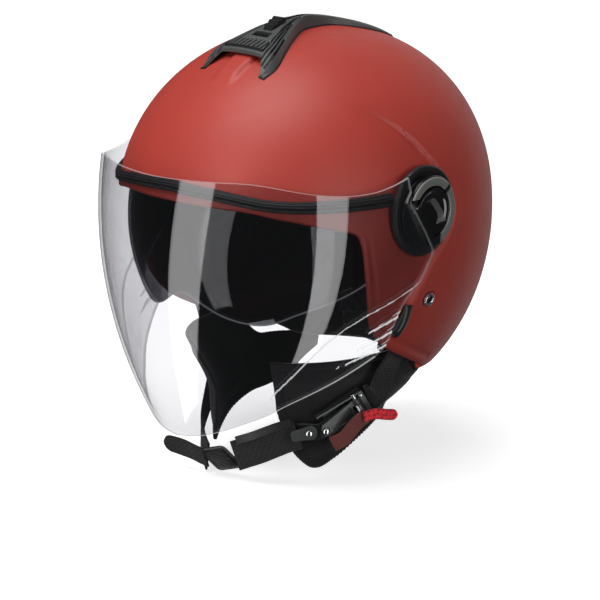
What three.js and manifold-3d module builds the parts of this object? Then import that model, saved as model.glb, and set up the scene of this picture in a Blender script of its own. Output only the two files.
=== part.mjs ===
// An open-face motorcycle helmet: matte shell, foam liner, clear face visor on two side pivots,
// drop-down sun visor worked by a knob on the crown, and a chin strap with a ratchet buckle.
// Millimetres. The helmet faces -Y, the wearer's left is +X and up is +Z. The origin is the
// middle of the visor's pivot axis, between the two hubs.
import * as THREE from "three";
import { mergeVertices } from "three/addons/utils/BufferGeometryUtils.js";
import Module from "manifold-3d";

const wasm = await Module();
wasm.setup();

// ---- Driving dimensions ----

const GAP = 0.3; // between pieces that touch
const FAR = 200; // past every face of the object

const SHELL = {
  halfWidth: 122, front: 152.2, rear: 127.2, up: 131.7, down: 150.8, centreY: 24.4, centreZ: -21.6,
  planPower: 2.17, crownPower: 2.18, thickness: 4, around: 36, levels: 18,
};
const EPS = { outside: -5.1, inside: -30, around: 28, levels: 12 };
const CROWN_LINER = { outside: -31.8, inside: -38, around: 24, levels: 6 };
const CHEEK = { outside: -31.8, inside: -52, rows: 5, columns: 6 };

const HUB = {
  radius: 31.5, recessX: 119.3, floorX: 120.8, rimX: 121.6, rimLean: 0.02, rimWidth: 5.2,
  coverRadius: 25.4, coverTopX: 127.3, arcInside: 18.5, arcOutside: 24.6, arcTopX: 128.4, pinRadius: 4,
};
const VISOR = { halfWidth: 127, fadeZ: 186, front: 147, bulgeZ: -28, bulgeFade: 640, thickness: 2.2 };
const LENS = { axisY: 0, axisZ: -18, halfWidth: 106, radius: 120, thickness: 2, topAngle: 19, travel: 40 };
const SLIDER = { axisY: 6.5, axisZ: 38, radius: 81.9, frontY: -26, rearY: -10, halfWidth: 5 };

const NECK = { y: 4.5, strapRadius: 66 };
const STRAP = { width: 22, thickness: 1.8, anchorZ: -66, rivetBore: 2.5 };

// ---- Materials ----

const finish = (color, roughness, metalness = 0, opacity = 1) =>
  new THREE.MeshStandardMaterial({ color, roughness, metalness, opacity, transparent: opacity < 1 });
const shellRed = finish(0xa8362f, 0.5);
const foamBlack = finish(0x1c1c1e, 0.9);
const linerBlack = finish(0x161618, 0.95);
const rubberBlack = finish(0x1a1a1b, 0.7);
const satinBlack = finish(0x232325, 0.45);
const glossBlack = finish(0x0c0c0d, 0.15);
const satinGrey = finish(0x8c8e90, 0.35, 0.6);
const ventGrey = finish(0x4b4c4d, 0.5);
const clearPlastic = finish(0xe6ebee, 0.05, 0, 0.25);
const smokePlastic = finish(0x232427, 0.08, 0, 0.7);
const webbingBlack = finish(0x202022, 0.9);
const buckleGrey = finish(0x55575a, 0.4, 0.7);
const chrome = finish(0xd8dadc, 0.12, 1);
const ribbonMaroon = finish(0x5a2724, 0.85);
const loopRed = finish(0xc8202a, 0.8);

// ---- Solids and booleans ----

function solid(geometry) {
  const bare = geometry.clone();
  bare.deleteAttribute("normal");
  bare.deleteAttribute("uv");
  const merged = mergeVertices(bare, 1e-4);
  return new wasm.Manifold(new wasm.Mesh({
    numProp: 3,
    vertProperties: new Float32Array(merged.attributes.position.array),
    triVerts: new Uint32Array(merged.index.array),
  }));
}

function geometryOf(manifold) {
  const { vertProperties, triVerts } = manifold.getMesh();
  const geometry = new THREE.BufferGeometry();
  geometry.setAttribute("position", new THREE.BufferAttribute(vertProperties, 3));
  geometry.setIndex(new THREE.BufferAttribute(triVerts, 1));
  geometry.computeVertexNormals();
  return geometry;
}

// A surface from rows of points and a list of faces, turned to face outwards.
function surface(points, faces) {
  const volume = faces.reduce((sum, [a, b, c]) =>
    sum + points[a].dot(new THREE.Vector3().crossVectors(points[b], points[c])), 0);
  const outward = volume < 0 ? faces.map(([a, b, c]) => [a, c, b]) : faces;
  const geometry = new THREE.BufferGeometry().setFromPoints(points);
  geometry.setIndex(outward.flat());
  geometry.computeVertexNormals();
  return geometry;
}

// A closed loft through rings of equal length; a ring of one point is a pole.
function loft(rings) {
  const points = rings.flat();
  const faces = [];
  let start = 0;
  for (let i = 0; i + 1 < rings.length; i++) {
    const here = rings[i].length;
    const next = rings[i + 1].length;
    const count = Math.max(here, next);
    for (let j = 0; j < count; j++) {
      const k = (j + 1) % count;
      const a = start + (j % here);
      const b = start + (k % here);
      const c = start + here + (j % next);
      const d = start + here + (k % next);
      if (here > 1) faces.push([a, b, d]);
      if (next > 1) faces.push([a, d, c]);
    }
    start += here;
  }
  capEnd(points, faces, rings[0], 0, true);
  capEnd(points, faces, rings[rings.length - 1], start, false);
  return surface(points, faces);
}

// A flat end over a ring, as a fan from its middle.
function capEnd(points, faces, ring, start, reversed) {
  if (ring.length === 1) return;
  const middle = ring.reduce((sum, p) => sum.add(p), new THREE.Vector3()).divideScalar(ring.length);
  points.push(middle);
  const centre = points.length - 1;
  ring.forEach((_, j) => {
    const k = (j + 1) % ring.length;
    faces.push(reversed ? [centre, start + k, start + j] : [centre, start + j, start + k]);
  });
}

// A closed curved panel: outer(u, v) and inner(u, v) give its two faces, with u and v from 0 to 1.
function panel(columns, rows, outer, inner) {
  const points = [];
  for (const face of [outer, inner])
    for (let i = 0; i <= columns; i++)
      for (let j = 0; j <= rows; j++) points.push(face(i / columns, j / rows));
  const stride = rows + 1;
  const under = (columns + 1) * stride;
  const faces = [];
  const quad = (a, b, c, d) => faces.push([a, b, c], [a, c, d]);
  for (let i = 0; i < columns; i++)
    for (let j = 0; j < rows; j++) {
      const a = i * stride + j;
      quad(a, a + stride, a + stride + 1, a + 1);
      quad(under + a, under + a + 1, under + a + stride + 1, under + a + stride);
    }
  for (let i = 0; i < columns; i++) {
    const a = i * stride;
    const b = a + rows;
    quad(a, under + a, under + a + stride, a + stride);
    quad(b, b + stride, under + b + stride, under + b);
  }
  for (let j = 0; j < rows; j++) {
    const b = columns * stride + j;
    quad(j, j + 1, under + j + 1, under + j);
    quad(b, under + b, under + b + 1, b + 1);
  }
  return surface(points, faces);
}

const shapeOf = (outline) => new THREE.Shape(outline.map(([a, b]) => new THREE.Vector2(a, b)));
const extrude = (outline, depth) =>
  new THREE.ExtrudeGeometry(shapeOf(outline), { depth, bevelEnabled: false });
const X_AXIS = new THREE.Vector3(1, 0, 0);
const Y_AXIS = new THREE.Vector3(0, 1, 0);
const Z_AXIS = new THREE.Vector3(0, 0, 1);

// A prism over an outline of (y, z) points, from one x to another.
function prismX(outline, fromX, toX) {
  const turn = new THREE.Matrix4().makeBasis(Y_AXIS, Z_AXIS, X_AXIS);
  return extrude(outline, toX - fromX).applyMatrix4(turn).translate(fromX, 0, 0);
}

const prismZ = (outline, fromZ, toZ) => extrude(outline, toZ - fromZ).translate(0, 0, fromZ);

const box = (low, high) => prismZ(
  [[low[0], low[1]], [high[0], low[1]], [high[0], high[1]], [low[0], high[1]]], low[2], high[2]);

// A turned piece about an axis along X through (y, z); the profile holds (radius, x) points.
function turnedX(profile, y = 0, z = 0, segments = 24) {
  const points = profile.map(([radius, x]) => new THREE.Vector2(radius, x));
  return new THREE.LatheGeometry(points, segments).rotateZ(-Math.PI / 2).translate(0, y, z);
}

const rodX = (radius, fromX, toX, y = 0, z = 0, segments = 24) =>
  turnedX([[0, fromX], [radius, fromX], [radius, toX], [0, toX]], y, z, segments);

const cut = (geometry, ...tools) =>
  geometryOf(tools.reduce((left, tool) => left.subtract(solid(tool)), solid(geometry)));
const common = (a, b) => geometryOf(solid(a).intersect(solid(b)));
const joined = (...parts) =>
  geometryOf(parts.slice(1).reduce((sum, part) => sum.add(solid(part)), solid(parts[0])));

const spline = (points) => new THREE.SplineCurve(points.map(([a, b]) => new THREE.Vector2(a, b)));
const radians = THREE.MathUtils.degToRad;
const mix = THREE.MathUtils.lerp;

// ---- The shell's surface ----

// How far out a level lies, as a share of the widest section, on the surface grown by a distance.
function levelShare(z, grow) {
  const rise = z - SHELL.centreZ;
  if (rise > 0) return (1 - (rise / (SHELL.up + grow)) ** SHELL.crownPower) ** (1 / SHELL.crownPower);
  return Math.sqrt(Math.max(0, 1 - (rise / (SHELL.down + grow)) ** 2));
}

// A point of the grown surface at a height, with the angle counted from +X towards the rear.
function shellPoint(angle, z, grow = 0) {
  const share = levelShare(z, grow);
  const power = 2 / SHELL.planPower;
  const across = Math.cos(angle);
  const along = Math.sin(angle);
  const depth = (along < 0 ? SHELL.front : SHELL.rear) + grow;
  return new THREE.Vector3(
    Math.sign(across) * Math.abs(across) ** power * (SHELL.halfWidth + grow) * share,
    SHELL.centreY + Math.sign(along) * Math.abs(along) ** power * depth * share,
    z,
  );
}

// The crown's height over a point of the plan, on the grown surface.
function crownHeight(x, y, grow = 0) {
  const offset = y - SHELL.centreY;
  const depth = (offset < 0 ? SHELL.front : SHELL.rear) + grow;
  const share = (Math.abs(x) / (SHELL.halfWidth + grow)) ** SHELL.planPower
    + (Math.abs(offset) / depth) ** SHELL.planPower;
  const level = share ** (SHELL.crownPower / SHELL.planPower);
  return SHELL.centreZ + (SHELL.up + grow) * (1 - level) ** (1 / SHELL.crownPower);
}

function ring(z, grow, around) {
  return Array.from({ length: around }, (_, i) => shellPoint((i / around) * 2 * Math.PI, z, grow));
}

// The whole closed surface, from the crown to the lowest point.
function ovoid(grow, around, levels) {
  const rings = [];
  for (let i = 0; i <= levels; i++) {
    const tilt = Math.PI * (0.5 - i / levels);
    const reach = (tilt > 0 ? SHELL.up : SHELL.down) + grow;
    const z = SHELL.centreZ + reach * Math.sin(tilt);
    const pole = i === 0 || i === levels;
    rings.push(pole ? [new THREE.Vector3(0, SHELL.centreY, z)] : ring(z, grow, around));
  }
  return loft(rings);
}

// ---- Shell ----

// The edge seen from the side: brow, cheek, lower edge and rear rim, as (y, z).
const PORT_EDGE = [
  [-FAR, 12.5], [-124, 10.5], [-97, 4], [-68, -5], [-60, -7], [-54, -11], [-51, -21],
  [-48.5, -37], [-44, -58], [-39, -75], [-34, -83], [-27.6, -90],
];
const LOWER_EDGE = [[-16.5, -98.7], [2, -108.6], [21.6, -118], [40, -126], [52, -130], [FAR, -130]];
const keepInside = (edge) => prismX([...edge, [FAR, FAR], [-FAR, FAR]], -FAR, FAR);

const rivetDirection = new THREE.Vector3(0.975, -0.03, -0.222).normalize();
const rivetPoint = shellPoint(-Math.asin(0.072), STRAP.anchorZ);

// A turned piece laid along a direction through a point.
function turnedAlong(profile, point, direction, segments = 12) {
  const turn = new THREE.Quaternion().setFromUnitVectors(Y_AXIS, direction);
  const points = profile.map(([radius, height]) => new THREE.Vector2(radius, height));
  return new THREE.LatheGeometry(points, segments).applyQuaternion(turn)
    .translate(point.x, point.y, point.z);
}

const rivetBore = () => {
  const { rivetBore: radius } = STRAP;
  return turnedAlong([[0, -20], [radius, -20], [radius, 15], [0, 15]], rivetPoint, rivetDirection);
};

const mirrorX = (geometry) => {
  const flipped = geometry.clone().scale(-1, 1, 1);
  const index = flipped.index ?? new THREE.BufferAttribute(
    Uint32Array.from({ length: flipped.attributes.position.count }, (_, i) => i), 1);
  const turned = Array.from(index.array);
  for (let i = 0; i < turned.length; i += 3) {
    [turned[i + 1], turned[i + 2]] = [turned[i + 2], turned[i + 1]];
  }
  flipped.setIndex(turned);
  return flipped;
};
const bothSides = (...tools) => tools.flatMap((tool) => [tool, mirrorX(tool)]);

function outerShell() {
  const skin = cut(
    ovoid(0, SHELL.around, SHELL.levels), ovoid(-SHELL.thickness, SHELL.around, SHELL.levels));
  const trimmed = common(skin, keepInside([...PORT_EDGE, ...LOWER_EDGE]));
  const hubSeat = rodX(HUB.radius + 0.6, HUB.recessX, FAR, 0, 0, 28);
  const pinHole = rodX(HUB.pinRadius + GAP, 100, FAR, 0, 0, 16);
  return cut(trimmed, ...bothSides(hubSeat, pinHole, rivetBore()));
}

// ---- Liner ----

// The inner face of the space that the sun visor sweeps, as a closed barrel about its hinge.
function lensBarrel(inset, segments = 32) {
  const profile = [];
  const steps = 24;
  for (let i = 0; i <= steps; i++) {
    const angle = Math.PI * (i / steps - 0.5);
    const { radius, x } = lensProfile(angle, inset);
    profile.push([i === 0 || i === steps ? 0 : radius, x]);
  }
  return turnedX(profile, LENS.axisY, LENS.axisZ, segments);
}

function lensProfile(angle, inset) {
  const power = 2 / SHELL.planPower;
  return {
    radius: (LENS.radius - inset) * Math.cos(angle) ** power,
    x: Math.sign(angle) * Math.abs(Math.sin(angle)) ** power * (LENS.halfWidth - inset),
  };
}

// The space in front of the foam that the sun visor needs, seen from the side.
function lensPocket() {
  const top = radians(LENS.topAngle + LENS.travel + 3);
  const outline = [
    [16, -34], [16, -6], [6, 4], [-FAR * Math.cos(top), LENS.axisZ + FAR * Math.sin(top)],
    [-FAR, FAR], [-FAR, -150], [-30, -60],
  ];
  return cut(prismX(outline, -FAR, FAR), lensBarrel(LENS.thickness + 1.4));
}

function epsLiner() {
  const { outside, inside, around, levels } = EPS;
  const skin = cut(ovoid(outside, around, levels), ovoid(inside, around, levels));
  const edge = [
    [-FAR, 18], [-90, 14], [-62, 4], [-46, -8], [-42, -25], [-38, -50], [-33, -74], [-20, -90],
    [2, -102], [30, -104], [60, -101], [FAR, -101],
  ];
  const block = common(skin, keepInside(edge));
  const strapChannel = cut(
    prismX([[-6, -140], [24, -140], [24, -48], [-6, -48]], -FAR, FAR),
    ovoid(-13, around, levels));
  const hubNut = rodX(9.5, 107, FAR, 0, 0, 16);
  const lensPin = rodX(10, 98, FAR, LENS.axisY, LENS.axisZ, 16);
  return cut(block, lensPocket(), strapChannel, ...bothSides(hubNut, lensPin));
}

// A padded cap inside the foam, whose rim drops from the brow to the nape.
function crownLiner() {
  const { outside, inside, around, levels } = CROWN_LINER;
  const rim = (angle) => mix(30, -52, ((1 + Math.sin(angle)) / 2) ** 1.6);
  const ringAt = (share, grow) => Array.from({ length: around }, (_, i) => {
    const angle = (i / around) * 2 * Math.PI;
    const top = SHELL.centreZ + SHELL.up + grow;
    const swing = Math.sin((share * Math.PI) / 2);
    return shellPoint(angle, mix(top, rim(angle), swing ** 2), grow);
  });
  const pole = (grow) => [new THREE.Vector3(0, SHELL.centreY, SHELL.centreZ + SHELL.up + grow)];
  const outer = [];
  const inner = [];
  for (let i = 1; i <= levels; i++) {
    outer.push(ringAt(i / levels, outside));
    inner.unshift(ringAt(i / levels, inside));
  }
  return loft([pole(outside), ...outer, ...inner, pole(inside)]);
}

function cheekPad() {
  const edge = (v) => ({ front: mix(-40, -14, v ** 1.4), rear: mix(44, 34, v) });
  const place = (u, v, grow) => {
    const z = mix(-24, -99, v);
    const { front, rear } = edge(v);
    const y = mix(front, rear, u);
    const share = levelShare(z, grow);
    const offset = y - SHELL.centreY;
    const depth = ((offset < 0 ? SHELL.front : SHELL.rear) + grow) * share;
    const across = (1 - (Math.abs(offset) / depth) ** SHELL.planPower) ** (1 / SHELL.planPower);
    return new THREE.Vector3((SHELL.halfWidth + grow) * share * across, y, z);
  };
  const swell = (u, v) => mix(CHEEK.outside - 12, CHEEK.inside + 26 * v * v,
    Math.min(1, 2.2 * Math.sqrt(Math.max(0, Math.sin(Math.PI * u) * Math.sin(Math.PI * v)))));
  return panel(CHEEK.columns, CHEEK.rows,
    (u, v) => place(u, v, CHEEK.outside), (u, v) => place(u, v, swell(u, v)));
}

// The padded roll round the nape, inside the rear rim.
function neckRoll() {
  const section = [[-5, -103], [-5, -127], [-14, -132], [-28, -132], [-34, -122], [-31, -104]];
  const steps = 16;
  const rings = [];
  for (let i = 0; i <= steps; i++) {
    const angle = radians(mix(20, 160, i / steps));
    rings.push(section.map(([grow, z]) => shellPoint(angle, z, grow)));
  }
  return loft(rings);
}

// ---- Seal, side stops and pivots ----

function browSeal() {
  const lower = spline([[0, 7.7], [11, 7.7], [23, 9.7], [47, 15], [70, 17.5]]);
  const height = spline([[0, 9], [11, 8.4], [23, 7.4], [47, 7.2], [70, 7.4]]);
  const place = (u, v, grow) => {
    const share = 1 - Math.abs(2 * u - 1);
    const z = lower.getPoint(share).y + (1 - v) * height.getPoint(share).y;
    return shellPoint(radians(mix(-20.4, -159.6, u)), z, grow);
  };
  return panel(28, 2, (u, v) => place(u, v, v === 0.5 ? 3.4 : 2.6), (u, v) => place(u, v, 0.45));
}

// The wedge that the visor's rear edge rests against.
function sideStop() {
  const outline = [[-5, -67], [-11, -65.5], [-18.6, -85.3], [-12, -90.6], [-8, -80]];
  const block = common(prismX(outline, 60, FAR), ovoid(5.6, SHELL.around, SHELL.levels));
  return cut(block, ovoid(GAP, SHELL.around, SHELL.levels));
}

// The fixed seat of a hub: a plate with a raised rim, fitted to the shell's curve.
function pivotBase() {
  // The rim leans outwards towards the lower rear, where the shell is widest.
  const { rimLean: lean } = HUB;
  const body = rodX(HUB.radius, 108, HUB.rimX, 0, 0, 28)
    .applyMatrix4(new THREE.Matrix4().set(1, lean, -lean, 0, 0, 1, 0, 0, 0, 0, 1, 0, 0, 0, 0, 1));
  const underside = common(
    ovoid(GAP, SHELL.around, SHELL.levels), box([0, -60, -60], [HUB.recessX + GAP, 60, 60]));
  const dish = rodX(HUB.radius - HUB.rimWidth, HUB.floorX, FAR, 0, 0, 28);
  return cut(body, underside, dish, rodX(HUB.pinRadius + GAP, 100, FAR, 0, 0, 16));
}

// The screw that a hub turns on, with its nut inside the shell.
const pivotPin = () => turnedX([
  [0, 110.4], [7, 110.4], [7, 112.8], [HUB.pinRadius, 112.8], [HUB.pinRadius, 123.6], [0, 123.6],
], 0, 0, 16);

// ---- Visor and hub covers ----

function visorPoint(degrees, z, inset, side) {
  const halfWidth = VISOR.halfWidth * Math.sqrt(1 - (z / VISOR.fadeZ) ** 2) - inset;
  const depth = VISOR.front - (z - VISOR.bulgeZ) ** 2 / VISOR.bulgeFade - inset;
  const angle = radians(degrees);
  return new THREE.Vector3(side * halfWidth * Math.sin(angle), -depth * Math.cos(angle), z);
}

// The visor's edges as (degrees from the front, z): top and bottom from the middle to one side,
// and the rear edge from the ear over the hub down to the lower corner.
const VISOR_TOP = spline([
  [0, 31], [17, 31.4], [34, 31], [50.6, 24], [61, 21], [69, 21], [75.5, 23.5], [81.4, 27.5],
]);
const VISOR_BOTTOM = spline([[0, -157], [20, -153], [39.5, -141], [50, -131], [65, -115], [77, -100]]);
const VISOR_REAR = spline([
  [81.4, 27.5], [83.4, 16], [84.4, 6], [88.8, -9], [92.7, -24], [92, -31], [87.3, -51], [83.3, -63],
  [81, -80], [80, -92], [77, -100],
]);

// A Coons patch between the four edges of one half.
function visorEdgePoint(u, v) {
  const top = VISOR_TOP.getPointAt(u);
  const bottom = VISOR_BOTTOM.getPointAt(u);
  const rear = VISOR_REAR.getPointAt(v);
  const straight = VISOR_TOP.getPoint(1).lerp(VISOR_BOTTOM.getPoint(1), v);
  return top.lerp(bottom, v).addScaledVector(rear.sub(straight), u);
}

function visor() {
  const place = (u, v, inset) => {
    const side = 2 * u - 1;
    const spot = visorEdgePoint(Math.abs(side), v);
    return visorPoint(spot.x, spot.y, inset, Math.sign(side));
  };
  const pane = panel(22, 14, (u, v) => place(u, v, 0), (u, v) => place(u, v, VISOR.thickness));
  const room = common(
    rodX(HUB.coverRadius + 0.5, 110, FAR, 0, 0, 28),
    prismX(CAP_EDGE.map(([y, z]) => [y - 0.4, z - 0.4]), 110, FAR));
  return cut(pane, ...bothSides(room));
}

// The part of the hub that the visor's ear leaves free, as (y, z).
const CAP_EDGE = [[-40, 9.5], [-19.5, 10.2], [3, -23.4], [7, -40], [40, -40], [40, 40], [-40, 40]];

function hubCover() {
  const flange = rodX(HUB.coverRadius, HUB.floorX + GAP, 122.2, 0, 0, 28);
  const boss = rodX(9, 122, 124.2, 0, 0, 20);
  const cap = common(rodX(HUB.coverRadius, 122, HUB.coverTopX, 0, 0, 28), prismX(CAP_EDGE, 122, FAR));
  const grip = prismX([[-6, 7.3], [1.1, 7.2], [9.5, -1.5], [10.6, -5.2], [5, -16], [-12, 2]], 124.4, FAR);
  const bore = rodX(HUB.pinRadius + GAP, 100, 123.9, 0, 0, 16);
  return cut(joined(flange, boss, cap), grip, bore);
}

function hubArc() {
  const band = turnedX([
    [HUB.arcInside, HUB.coverTopX + GAP], [HUB.arcOutside, HUB.coverTopX + GAP],
    [HUB.arcOutside - 0.8, HUB.arcTopX], [HUB.arcInside + 0.8, HUB.arcTopX],
    [HUB.arcInside, HUB.coverTopX + GAP],
  ], 0, 0, 28);
  const shown = [[-40, 13], [-12, 12], [0, 0], [9.5, -14], [8, -40], [40, -40], [40, 40], [-40, 40]];
  return common(band, prismX(shown, 120, FAR));
}

// ---- Sun visor ----

// The lens's lower edge, as (share of the half width's angle, hinge angle in degrees).
const LENS_LOWER = spline([
  [0, -17.5], [0.1, -21], [0.22, -28], [0.4, -30], [0.62, -35], [0.82, -43], [1, -52],
]);

function sunVisor() {
  const place = (u, v, inset) => {
    const side = 2 * u - 1;
    const sweep = Math.abs(side);
    const { radius, x } = lensProfile(side * radians(87), inset);
    const low = LENS_LOWER.getPoint(sweep).y;
    const top = mix(LENS.topAngle, LENS.topAngle + 8, sweep ** 6);
    const angle = radians(mix(top, low, v));
    return new THREE.Vector3(x, LENS.axisY - radius * Math.cos(angle), LENS.axisZ + radius * Math.sin(angle));
  };
  const lens = panel(24, 4, (u, v) => place(u, v, 0), (u, v) => place(u, v, LENS.thickness));
  const eye = rodX(11, 103.4, 105.8, LENS.axisY, LENS.axisZ, 20);
  const hole = rodX(2.8, 90, FAR, LENS.axisY, LENS.axisZ, 16);
  return cut(joined(lens, eye, mirrorX(eye)), ...bothSides(hole));
}

// The stud on the shell's inner wall that the lens turns on.
const sunVisorPivot = () => turnedX([
  [0, 101.2], [5, 101.2], [5, 103], [2.4, 103], [2.4, 106.4], [8, 106.4], [8, 114.6], [0, 114.6],
], LENS.axisY, LENS.axisZ, 16);

// ---- Crown vent cover and sun visor slider ----

const VENT_HALF_WIDTH = spline([
  [-61, 28.6], [-49, 29.5], [-31, 22], [-10, 12], [6, 5], [22, 4.4], [36, 8], [47, 17],
  [60, 23], [78, 25], [96, 12],
]);
const VENT_CREST = spline([
  [-61, 94.2], [-50, 104], [-38, 108.6], [-26, 113], [-14, 116.9], [-2, 119], [8, 119.5], [19, 118.8],
  [41, 114.8], [63, 108.6], [82, 100.6], [96, 93.4],
]);

// The value of a curve of (y, value) points at y.
function valueAt(curve, y) {
  let low = 0;
  let high = 1;
  for (let i = 0; i < 30; i++) {
    const middle = (low + high) / 2;
    if (curve.getPoint(middle).x < y) low = middle;
    else high = middle;
  }
  return curve.getPoint(low).y;
}

const VENT_ACROSS = [-1, -0.92, -0.75, -0.35, 0, 0.35, 0.75, 0.92, 1];
const VENT_RISE = [0.2, 0.7, 0.93, 1, 1, 1, 0.93, 0.7, 0.2];

function ventCover() {
  const rows = VENT_ACROSS.length - 1;
  const place = (u, v, inner) => {
    const y = mix(-61, 96, u);
    const k = Math.round(v * rows);
    const x = VENT_ACROSS[k] * valueAt(VENT_HALF_WIDTH, y);
    const height = valueAt(VENT_CREST, y) - crownHeight(0, y);
    const outside = Math.max(1.2, height * VENT_RISE[k]);
    const hollow = Math.abs(VENT_ACROSS[k]) < 0.9 ? Math.max(GAP, outside - 2.2) : GAP;
    return new THREE.Vector3(x, y, crownHeight(x, y, inner ? hollow : outside));
  };
  const skin = panel(26, rows, (u, v) => place(u, v, false), (u, v) => place(u, v, true));
  const mouth = prismZ([
    [-18, -51.5], [-25.6, -61.5], [-25.6, -70], [25.6, -70], [25.6, -61.5], [18, -51.5],
  ], 60, 130);
  const knobSlot = box([-1.8, -22.5, 90], [1.8, 12.5, 130]);
  const shutterWindow = box([-7.4, -34, 90], [7.4, -27.6, 130]);
  return cut(skin, mouth, knobSlot, shutterWindow);
}

// A point of the arc that the knob follows, lifted off the cover.
const onSlide = (y, lift) =>
  [y, SLIDER.axisZ + Math.sqrt((SLIDER.radius + lift) ** 2 - (y - SLIDER.axisY) ** 2)];

// A ridged thumb knob on the crown, with a stem down through the cover's slot.
function sliderKnob() {
  const { frontY, rearY, halfWidth } = SLIDER;
  const outline = [onSlide(frontY, 0.4), onSlide(-18, 0.4), onSlide(rearY, 0.4), onSlide(rearY, 3.6)];
  for (const y of [-12, -16.4, -20.8]) {
    outline.push(onSlide(y, 5.2), onSlide(y - 2.4, 4.8), onSlide(y - 3.4, 3.2));
  }
  outline.push(onSlide(frontY, 1.6));
  const stem = prismX([
    onSlide(-20.5, -6.2), onSlide(-15.5, -6.2), onSlide(-15.5, 1.5), onSlide(-20.5, 1.5),
  ], -1.3, 1.3);
  return joined(prismX(outline, -halfWidth, halfWidth), stem);
}

// The runner under the cover that the knob's stem drives, at the head of the lens cable.
function sliderCarrier() {
  const lower = [-23, -18, -13].map((y) => onSlide(y, -8.2));
  const upper = [-13, -18, -23].map((y) => onSlide(y, -6.6));
  return prismX([...lower, ...upper], -3.6, 3.6);
}

// The shutter of the crown intake, with a finger rib in the cover's window.
function ventShutter() {
  const line = (y, lift) => [y, crownHeight(0, y) + lift];
  const plate = prismX([line(-36, 3.4), line(-27, 3.4), line(-27, 4.6), line(-36, 4.6)], -9, 9);
  const rib = prismX([line(-30.4, 4), line(-28.2, 4), line(-28.4, 8.6), line(-30, 8.6)], -6.6, 6.6);
  return joined(plate, rib);
}

// ---- Straps ----

const strapRivet = () => turnedAlong([
  [0, -12.4], [2.1, -12.4], [2.1, 0.5], [4.8, 0.5], [4.4, 1.8], [2.6, 2.9], [0, 3.3],
], rivetPoint, rivetDirection);

const outwards = (p) => new THREE.Vector3(p.x, p.y - NECK.y, 0).normalize();

// A flat strap along a route. Its face looks away from the neck, or along facing(u) where given.
function ribbon(route, width, thickness, steps = 16, facing = null) {
  const curve = new THREE.CatmullRomCurve3(route);
  const rings = [];
  for (let i = 0; i <= steps; i++) {
    const middle = curve.getPoint(i / steps);
    const tangent = curve.getTangent(i / steps);
    const face = facing ? facing(i / steps, middle) : outwards(middle);
    const across = new THREE.Vector3().crossVectors(tangent, face).normalize();
    const normal = new THREE.Vector3().crossVectors(across, tangent);
    const corner = (a, b) => middle.clone()
      .addScaledVector(across, (a * width) / 2)
      .addScaledVector(normal, (b * thickness) / 2);
    rings.push([corner(-1, -1), corner(1, -1), corner(1, 1), corner(-1, 1)]);
  }
  return loft(rings);
}

// A point beside the neck: degrees from the front towards the wearer's left, height and radius.
const roundNeck = (degrees, z, radius = NECK.strapRadius) => new THREE.Vector3(
  radius * Math.sin(radians(degrees)), NECK.y - radius * Math.cos(radians(degrees)), z);

const v3 = (x, y, z) => new THREE.Vector3(x, y, z);

// A point in the buckle's own frame.
const inBuckle = (u, v, w) => v3(u, v, w).applyMatrix4(buckleFrame);

const SIDE_ROUTE = [
  v3(109.6, 9, -58), v3(104, 9, -79), v3(95, 8.5, -100), v3(84.5, 6, -121), v3(76, 3, -136),
];
const flip = (route) => route.map((p) => v3(-p.x, p.y, p.z));

const strapLeft = () => cut(
  ribbon([...SIDE_ROUTE.slice(0, 4), inBuckle(46, 0, 5), inBuckle(37.4, 0, 4)],
    STRAP.width, STRAP.thickness),
  rivetBore());
const strapRight = () => cut(
  ribbon([
    ...flip(SIDE_ROUTE), roundNeck(-76, -154, 68), roundNeck(-52, -178, 68), roundNeck(-36, -188.5, 69),
    inRing(-13.6, 0, -3),
  ], STRAP.width, STRAP.thickness, 24),
  mirrorX(rivetBore()));

const CHIN_ROUTE = [
  roundNeck(42.4, -164.8, 70), roundNeck(35, -168, 69.2), roundNeck(27, -172.6, 68.2),
  roundNeck(18, -178, 67.6), roundNeck(10, -182.2, 67.6), roundNeck(1.9, -186.7, 67.8),
];
const chinWebbing = () => ribbon(CHIN_ROUTE, STRAP.width, STRAP.thickness);

// The slider's own frame: along the strap, across it, and away from the neck and down.
const RING = { halfLength: 11.6, halfWidth: 13.5, bar: 1.2 };
const ringFrame = new THREE.Matrix4()
  .makeBasis(v3(0.9468, 0.1166, 0.3), v3(-0.1487, -0.6713, 0.7261), v3(0.2861, -0.7321, -0.6183))
  .setPosition(-10.3, -64.7, -190.8);
const inRing = (u, v, w) => v3(u, v, w).applyMatrix4(ringFrame);

// The slider that the loose end doubles back through: a frame of round bar with a middle bar.
function strapRing() {
  const { halfLength, halfWidth, bar } = RING;
  const plate = (u0, u1, v0, v1) => box([u0, v0, -bar], [u1, v1, bar]);
  const bars = [-halfLength + bar, 0, halfLength - bar]
    .map((u) => plate(u - bar, u + bar, -halfWidth, halfWidth));
  const rails = [-halfWidth + bar, halfWidth - bar]
    .map((v) => plate(-halfLength, halfLength, v - bar, v + bar));
  return joined(...bars, ...rails).applyMatrix4(ringFrame);
}

// The loose end lies against the ring, then springs away from the neck.
const strapTail = () => ribbon(
  [inRing(-17, 3, 2.6), v3(-34.5, -69.4, -191), v3(-45, -70.4, -189.3), v3(-54.5, -74.5, -187.4)],
  19, STRAP.thickness, 8, () => v3(-0.1, -0.88, -0.45));

// ---- Strap pads ----

// How far the pad stands from the neck's axis, tight in front and flaring out to the rim behind.
const PAD_FRONT = spline([
  [-195, 60.6], [-172, 60.6], [-158, 61.2], [-147, 62.4], [-135, 67], [-122, 74], [-108, 81],
]);
const PAD_REAR = spline([
  [-195, 61], [-172, 62.6], [-160, 66], [-149, 77], [-140, 86], [-130, 92], [-108, 94],
]);
const PAD_LOWER = spline([
  [28, -150], [36, -176], [48, -191], [57, -193.5], [68, -188], [86, -178], [104, -171],
  [118, -168], [132, -162], [150, -144],
]);

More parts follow.
